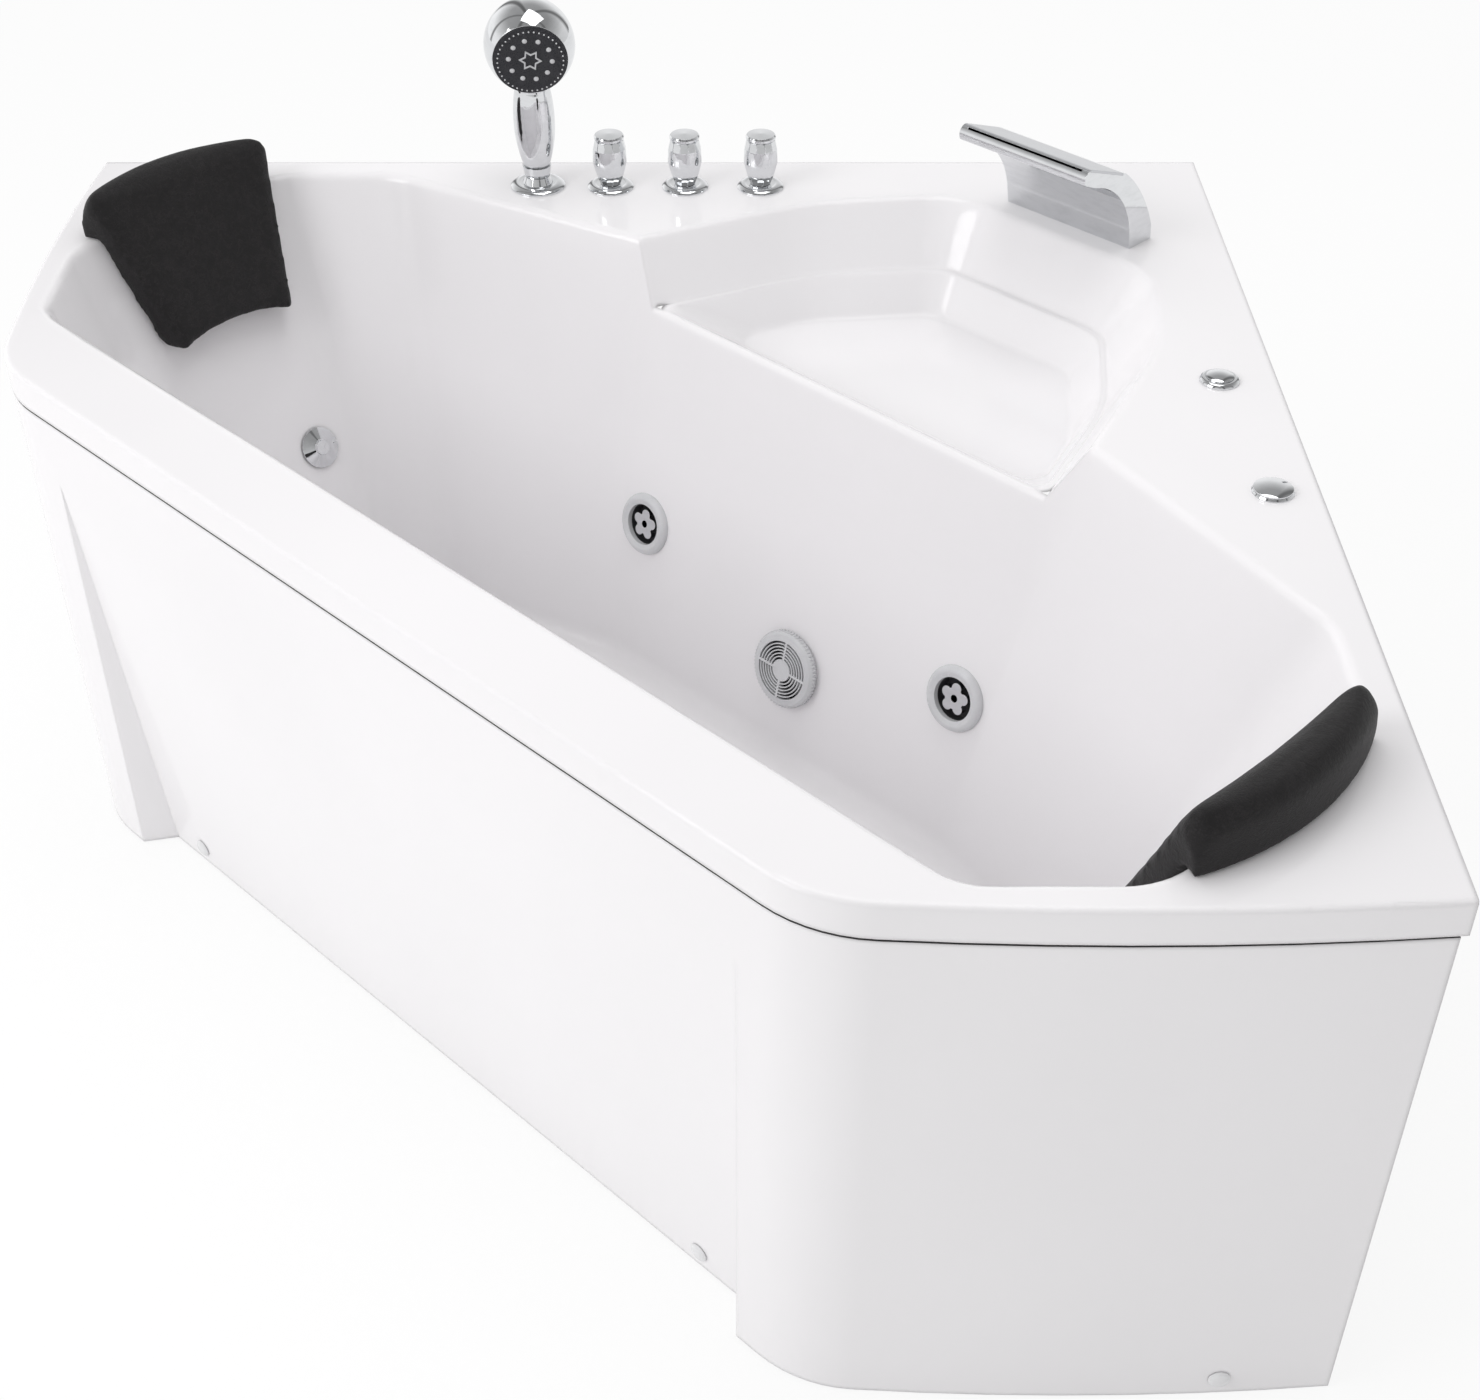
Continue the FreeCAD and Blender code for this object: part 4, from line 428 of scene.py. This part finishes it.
def finished(node, sharp=32.0, split=None):
    """Replaces a node by its smooth copy in its finish, with its hidden faces marked where asked."""
    mesh, shape = merged(node)
    slot = slot_of[node]
    mesh.materials.append(finishes[slot])
    if split:
        mesh.materials.append(backing)
        mesh.materials.append(painted_gap_shade)
        split(shape)
        # level faces at the lip's foot take the dark painted shade of the gap under the lip
        for face in shape.faces:
            if is_painted_gap_shade(face):
                face.material_index = 2
    smoothed(mesh, shape, sharp)
    piece = linked(node + "_piece", mesh)
    weigh = piece.modifiers.new("even_shading", "WEIGHTED_NORMAL")
    weigh.keep_sharp = True
    weigh.weight = 60
    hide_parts(node)
    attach(piece, frame["nodes"][node]["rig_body"])


def unseen_faces(ways, keep=None):
    """Marks faces as backing where the solid hides them from every one of some directions."""
    def mark(shape):
        tree = BVHTree.FromBMesh(shape)
        for face in shape.faces:
            middle = face.calc_center_median()
            start = middle + face.normal * 0.0004
            seen = any(face.normal.dot(way) > -0.02 and tree.ray_cast(start, way)[0] is None for way in ways)
            if not seen and not (keep and keep(middle, face.normal)):
                face.material_index = 1
    return mark


def stays_white(place, normal):
    """Whether a hidden face is at the foot of the lip or on the lip's wall sides."""
    if not lip_foot - lip_margin < place.z < rim_height - rim_margin:
        return False
    at_foot = abs(place.z - lip_foot) < lip_margin
    outwards = normal.dot(Vector((place.x, place.y, 0))) > 0.2
    return at_foot or outwards and place.z > lip_foot and max(place.x, place.y) > wall_side_start


sky = [Vector((math.sin(tip) * math.cos(way), math.sin(tip) * math.sin(way), math.cos(tip)))
       for tip, way in ((0, 0), (0.3, 0), (0.3, 1.57), (0.3, 3.14), (0.3, 4.71))]
streets = [at(-1, 0), Vector((-1, 0, 0)), Vector((0, -1, 0)),
           at(-1, 0.5).normalized(), at(-1, -0.5).normalized()]

plain_nodes = {"base_board", "apron_brackets", "pillow_left", "pillow_right", "tub_shell", "apron"}
for node in sorted(frame["nodes"]):
    if node not in plain_nodes:
        finished(node)
finished("tub_shell", 40.0, unseen_faces(sky, stays_white))
finished("apron", 30.0, unseen_faces(streets))
for node in ("base_board", "apron_brackets"):
    finished(node, 20.0)


# ------------------------------------------------------------------ headrest pillows
def rounded_outline(corners, steps=5):
    """Closed outline through corners given as (x, y, rounding), with each corner a curve of points."""
    points = []
    count = len(corners)
    for k in range(count):
        here = Vector(corners[k][:2])
        back = Vector(corners[k - 1][:2]) - here
        ahead = Vector(corners[(k + 1) % count][:2]) - here
        cut = min(corners[k][2], 0.42 * back.length, 0.42 * ahead.length)
        start = here + back.normalized() * cut
        end = here + ahead.normalized() * cut
        for step in range(steps + 1):
            share = step / steps
            points.append(start.lerp(here, share).lerp(here.lerp(end, share), share))
    return points


def corner_turn(wide, half, radius):
    """How far a rounded corner has turned away at a place along the pad."""
    past = min(max(0.0, wide - half + radius), radius)
    return radius - math.sqrt(radius ** 2 - past ** 2)


def pillow_section(share, inset):
    """Outline of the pad in the (d, z) plane at a share of its half width."""
    wide = abs(share) * pillow_half_outer
    outer = headrest_place + pillow_outer_reach - pillow_outer_curve * share ** 2 - inset
    foot = pillow_foot + pillow_foot_rise * (1 - min(1.0, wide / pillow_half_flat) ** 2) + inset
    foot += corner_turn(wide, pillow_half_low, pillow_corner * 0.5)
    top = pillow_top - pillow_top_fall * share ** 2 - inset - corner_turn(wide, pillow_half, pillow_corner)
    deck = rim_height + pillow_gap + inset * 0.3
    past_flat = max(0.0, wide - pillow_half_flat)
    turn_in = basin_corner_radius - math.sqrt(basin_corner_radius ** 2 - past_flat ** 2)
    wall = headrest_place - pillow_gap * 1.5 - turn_in - inset * 0.3
    front_top = headrest_place - pillow_brow - pillow_wrap * share ** 2 + inset
    front_foot = front_top - pillow_front_lean * (top - foot)
    back_foot = wall - headrest_slope * (rim_height - foot)
    return [(front_top, top, crest_round), (front_foot, foot, foot_round), (back_foot, foot, heel_round),
            (wall, deck, edge_round), (outer, deck, lip_round), (outer - 0.001, top - 0.014, back_round),
            (outer - 0.015, top, crown_round)]


def pillow_form():
    """Closed mesh of the pad, from its sections along the headrest, with its ends cut at a slant."""
    shares = [-1 + 2 * k / pillow_sections for k in range(pillow_sections + 1)]
    shape = bmesh.new()
    rows = []
    for share in shares:
        outline = rounded_outline(pillow_section(share * 0.985, pillow_inset))
        wide = share * (pillow_half_outer - pillow_inset)
        rows.append([shape.verts.new(at(wide, point.x, point.y)) for point in outline])
    for near, far in zip(rows, rows[1:]):
        for k in range(len(near)):
            m = (k + 1) % len(near)
            shape.faces.new((near[k], near[m], far[m], far[k]))
    shape.faces.new(rows[0])
    shape.faces.new(list(reversed(rows[-1])))
    for side in (-1, 1):
        normal = (at(side, -pillow_end_spread) - UP * pillow_end_flare).normalized()
        place = at(side * (pillow_half - pillow_inset), headrest_place, rim_height)
        whole = shape.verts[:] + shape.edges[:] + shape.faces[:]
        cut = bmesh.ops.bisect_plane(shape, geom=whole, dist=0.00001, plane_co=place, plane_no=normal,
                                     clear_outer=True)
        rim = [part for part in cut["geom_cut"] if isinstance(part, bmesh.types.BMEdge)]
        bmesh.ops.holes_fill(shape, edges=rim)
    bmesh.ops.recalc_face_normals(shape, faces=shape.faces)
    mesh = bpy.data.meshes.new("pillow_form")
    shape.to_mesh(mesh)
    shape.free()
    return mesh


def applied(piece):
    """Turns the piece's modifiers into its mesh."""
    done = bpy.data.meshes.new_from_object(piece.evaluated_get(bpy.context.evaluated_depsgraph_get()))
    piece.modifiers.clear()
    piece.data = done


def puffed(piece, pressure, most):
    """Swells the skin by cloth pressure, with no point moving further than a limit."""
    rest = [vertex.co.copy() for vertex in piece.data.vertices]
    cloth = piece.modifiers.new("skin", "CLOTH")
    cloth.settings.use_pressure = True
    cloth.settings.uniform_pressure_force = pressure
    cloth.settings.effector_weights.gravity = 0.0
    cloth.settings.tension_stiffness = 25.0
    cloth.settings.compression_stiffness = 25.0
    cloth.settings.bending_stiffness = 3.0
    cloth.point_cache.frame_start = 1
    cloth.point_cache.frame_end = cloth_frames
    for count in range(1, cloth_frames + 1):
        scene.frame_set(count)
    swollen = piece.evaluated_get(bpy.context.evaluated_depsgraph_get()).data
    moved = [vertex.co.copy() for vertex in swollen.vertices]
    piece.modifiers.clear()
    scene.frame_set(1)
    for vertex, was, now in zip(piece.data.vertices, rest, moved):
        step = now - was
        length = step.length
        vertex.co = was + step * (most * math.tanh(length / most) / length if length > 0 else 0)


def eased(piece, rounds):
    """Smooths the mesh a little, keeping its form."""
    shape = bmesh.new()
    shape.from_mesh(piece.data)
    for _ in range(rounds):
        bmesh.ops.smooth_vert(shape, verts=shape.verts, factor=0.5, use_axis_x=True, use_axis_y=True,
                              use_axis_z=True)
    shape.to_mesh(piece.data)
    shape.free()


def kept_clear(piece, tree, gap):
    """Lifts points that come nearer to a surface than a gap back off it."""
    for vertex in piece.data.vertices:
        place, normal, _, distance = tree.find_nearest(vertex.co, 0.03)
        if place is not None:
            height = (vertex.co - place).dot(normal)
            if height < gap:
                vertex.co += normal * (gap - height)


def make_pillows():
    """Both pads: one form is swelled and settled, and the other is its mirror image."""
    pad = linked("pillow_right_pad", pillow_form())
    voxels = pad.modifiers.new("voxels", "REMESH")
    voxels.mode = "VOXEL"
    voxels.voxel_size = pillow_voxel
    voxels.use_smooth_shade = True
    applied(pad)
    eased(pad, 2)
    puffed(pad, pillow_pressure, pillow_swell)
    eased(pad, 1)
    finer = pad.modifiers.new("finer", "SUBSURF")
    finer.levels = 1
    finer.render_levels = 1
    applied(pad)
    surface = bmesh.new()
    surface.from_mesh(frame["nodes"]["tub_shell"].data)
    tree = BVHTree.FromBMesh(surface)
    surface.free()
    for _ in range(2):
        kept_clear(pad, tree, pillow_clear)
    twin = linked("pillow_left_pad", pad.data.copy())
    swap = Matrix(((0, 1, 0, 0), (1, 0, 0, 0), (0, 0, 1, 0), (0, 0, 0, 1)))
    twin.data.transform(swap)
    twin.data.flip_normals()
    for piece, node in ((pad, "pillow_right"), (twin, "pillow_left")):
        piece.data.materials.clear()
        piece.data.materials.append(finishes["pillow_skin"])
        piece.data.polygons.foreach_set("use_smooth", [True] * len(piece.data.polygons))
        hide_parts(node)
        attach(piece, frame["nodes"][node]["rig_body"])


make_pillows()


# ------------------------------------------------------------------ repeated small forms, by geometry nodes
class Grower:
    """A geometry tree with named sizes, that ends in real geometry with its finish."""

    def __init__(self, name, sizes):
        self.tree = bpy.data.node_groups.new(name, "GeometryNodeTree")
        self.tree.interface.new_socket("Geometry", in_out="OUTPUT", socket_type="NodeSocketGeometry")
        self.keys = {}
        self.values = {}
        for label, (kind, value) in sizes.items():
            socket = self.tree.interface.new_socket(label, in_out="INPUT", socket_type="NodeSocket" + kind)
            self.keys[label] = socket.identifier
            self.values[label] = value
        self.given = self.tree.nodes.new("NodeGroupInput")

    def size(self, label):
        """The socket of a named size."""
        return self.given.outputs[label]

    def node(self, kind, settings=None, inputs=None):
        """Adds a node with its settings and its sockets' values or links; gives its outputs."""
        made = self.tree.nodes.new(kind)
        for key, value in (settings or {}).items():
            setattr(made, key, value)
        for key, value in (inputs or {}).items():
            if isinstance(value, bpy.types.NodeSocket):
                self.tree.links.new(value, made.inputs[key])
            else:
                made.inputs[key].default_value = value
        return made.outputs

    def grown(self, name, geometry, finish, place):
        """Bakes the tree to a plain mesh at its place and returns the piece."""
        real = self.node("GeometryNodeRealizeInstances", None, {"Geometry": geometry})[0]
        coated = self.node("GeometryNodeSetMaterial", None, {"Geometry": real, "Material": finish})[0]
        end = self.tree.nodes.new("NodeGroupOutput")
        self.tree.links.new(coated, end.inputs[0])
        piece = linked(name, bpy.data.meshes.new(name + "_seed"))
        modifier = piece.modifiers.new(name, "NODES")
        modifier.node_group = self.tree
        for label, key in self.keys.items():
            modifier[key] = self.values[label]
        applied(piece)
        piece.name = name
        piece.data.transform(place)
        piece.data.polygons.foreach_set("use_smooth", [True] * len(piece.data.polygons))
        return piece


def facing(place, normal):
    """Turn and move that bring +Z onto a slanted normal and +Y as near upwards as it gets."""
    third = normal.normalized()
    first = UP.cross(third).normalized()
    second = third.cross(first)
    return Matrix.Translation(place) @ Matrix((first, second, third)).transposed().to_4x4()


def ring_of(name, circle, count, make_bead, finish, place, turned_out=False):
    """Beads of one small form evenly round a circle, each turned outwards where asked."""
    g = Grower(name, {"Circle": ("Float", circle), "Count": ("Int", count)})
    points = g.node("GeometryNodeMeshCircle", None,
                    {"Vertices": g.size("Count"), "Radius": g.size("Circle")})[0]
    inputs = {"Points": points, "Instance": make_bead(g)}
    if turned_out:
        point = g.node("GeometryNodeInputPosition")[0]
        inputs["Rotation"] = g.node("FunctionNodeAlignRotationToVector", {"axis": "X"}, {"Vector": point})[0]
    cloud = g.node("GeometryNodeInstanceOnPoints", None, inputs)[0]
    return g.grown(name, cloud, finish, place)


def fine_bead(g):
    """A small tip: a flattened ball, half sunk in the spray face."""
    ball = g.node("GeometryNodeMeshUVSphere", None,
                  {"Segments": 10, "Rings": 6, "Radius": fine_nozzle_radius})["Mesh"]
    return g.node("GeometryNodeTransform", None, {"Geometry": ball, "Scale": (1, 1, 0.8)})[0]


def grip_rib(g):
    """A rounded rib that stands up the side of the suction cover."""
    rod = g.node("GeometryNodeMeshCylinder", None,
                 {"Vertices": 8, "Radius": suction_rib_radius, "Depth": suction_rib_length})["Mesh"]
    return g.node("GeometryNodeTransform", None,
                  {"Geometry": rod, "Translation": (0, 0, suction_rib_middle)})[0]


tilt = math.radians(face_tilt)
turn = math.radians(face_turn)
face_normal = Vector((math.sin(turn) * math.cos(tilt), -math.cos(turn) * math.cos(tilt), -math.sin(tilt)))
tips = ring_of("fine_nozzles", fine_nozzle_circle, fine_nozzle_count, fine_bead, finishes["pale_plastic"],
               facing(head_centre + face_normal * (face_offset + fine_nozzle_start), face_normal))
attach(tips, frame["nodes"]["shower_face"]["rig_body"])
suction_normal = (at(-1, 0) + UP * seat_slope).normalized()
ribs = ring_of("suction_ribs", suction_radius, suction_rib_count, grip_rib, finishes["pale_plastic"],
               facing(at(suction_from_middle, suction_place, suction_height), suction_normal), True)
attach(ribs, frame["nodes"]["suction_cover"]["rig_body"])


# ------------------------------------------------------------------ light, floor and camera
def softbox(name, place, target, width, height, power):
    """A rectangular lamp at a place, turned to a target, with its power in watts."""
    data = bpy.data.lights.new(name, "AREA")
    data.shape = "RECTANGLE"
    data.size = width
    data.size_y = height
    data.energy = power
    light = bpy.data.objects.new(name, data)
    scene.collection.objects.link(light)
    light.location = place
    light.rotation_euler = (Vector(target) - Vector(place)).to_track_quat("-Z", "Y").to_euler()


softbox("left_softbox", (-2.9, -1.6, 2.9), (0, 0, 0.4), width=2.2, height=1.8, power=46.0)
softbox("top_softbox", (0.3, 0.5, 3.4), (0.1, 0.1, 0.4), width=1.7, height=1.7, power=20.0)


def make_world():
    """White to the eye, and a plain soft studio to the object, with dark screens in its reflections."""
    world = bpy.data.worlds.new("studio")
    scene.world = world
    f = Finish("studio", world)
    way = f.node("ShaderNodeTexCoord", out="Generated")
    x, y, z = (f.node("ShaderNodeSeparateXYZ", None, {"Vector": way}, axis) for axis in "XYZ")
    side = f.spread(y * 0.75 - x * 0.65, -1.0, 1.0, studio_front, studio_back)
    above = f.spread(z, 0.15, 0.9, 1.0, studio_top)
    seen = f.node("ShaderNodeLightPath", out="Is Camera Ray")
    mirrored = f.node("ShaderNodeLightPath", out="Is Glossy Ray")
    # each dark screen: its direction, its half width and how dark it is
    screens = [f.spread(abs(x * math.cos(angle) + y * math.sin(angle)), 0.03, half_width, depth, 0.0)
               for angle, half_width, depth in ((0.35, 0.16, 0.8), (1.25, 0.10, 0.7), (2.45, 0.20, 0.75))]
    dark = f.spread(z, 0.25, 0.75, 0.0, 0.5)
    for screen in screens:
        dark = dark.or_more(screen)
    strength = seen + (1.0 - seen) * side * above * (1.0 - mirrored * dark)
    background = f.node("ShaderNodeBackground", None, {"Color": (1, 1, 1), "Strength": strength})
    f.node("ShaderNodeOutputWorld", None, {"Surface": background})


make_world()


def make_floor():
    """Plain white floor that keeps the object's soft shadow."""
    mesh = bpy.data.meshes.new("floor")
    corners = [(x * floor_reach, y * floor_reach, 0) for x, y in ((-1, -1), (1, -1), (1, 1), (-1, 1))]
    mesh.from_pydata(corners, [], [(0, 1, 2, 3)])
    floor = linked("floor", mesh)
    f = Finish("floor")
    rays = [f.node("ShaderNodeLightPath", out=name) for name in
            ("Is Camera Ray", "Is Glossy Ray", "Is Transmission Ray")]
    seen = rays[0].or_more(rays[1]).or_more(rays[2])
    paint = f.node("ShaderNodeBsdfDiffuse", None, {"Color": (0.94, 0.94, 0.94)})
    glow = f.node("ShaderNodeEmission", None, {"Color": (1, 1, 1), "Strength": 1.0})
    both = f.node("ShaderNodeMixShader", None, {0: seen * 0.86, 1: paint, 2: glow})
    f.node("ShaderNodeOutputMaterial", None, {"Surface": both})
    mesh.materials.append(f.owner)


make_floor()

camera_data = bpy.data.cameras.new("camera")
camera = bpy.data.objects.new("camera", camera_data)
scene.collection.objects.link(camera)
camera.location = camera_place
camera.rotation_euler = (math.radians(camera_pitch), 0, 0)
camera_data.sensor_fit = "HORIZONTAL"
camera_data.sensor_width = 36.0
camera_data.lens = camera_lens
camera_data.shift_y = camera_shift
scene.camera = camera
scene.view_settings.view_transform = "Standard"
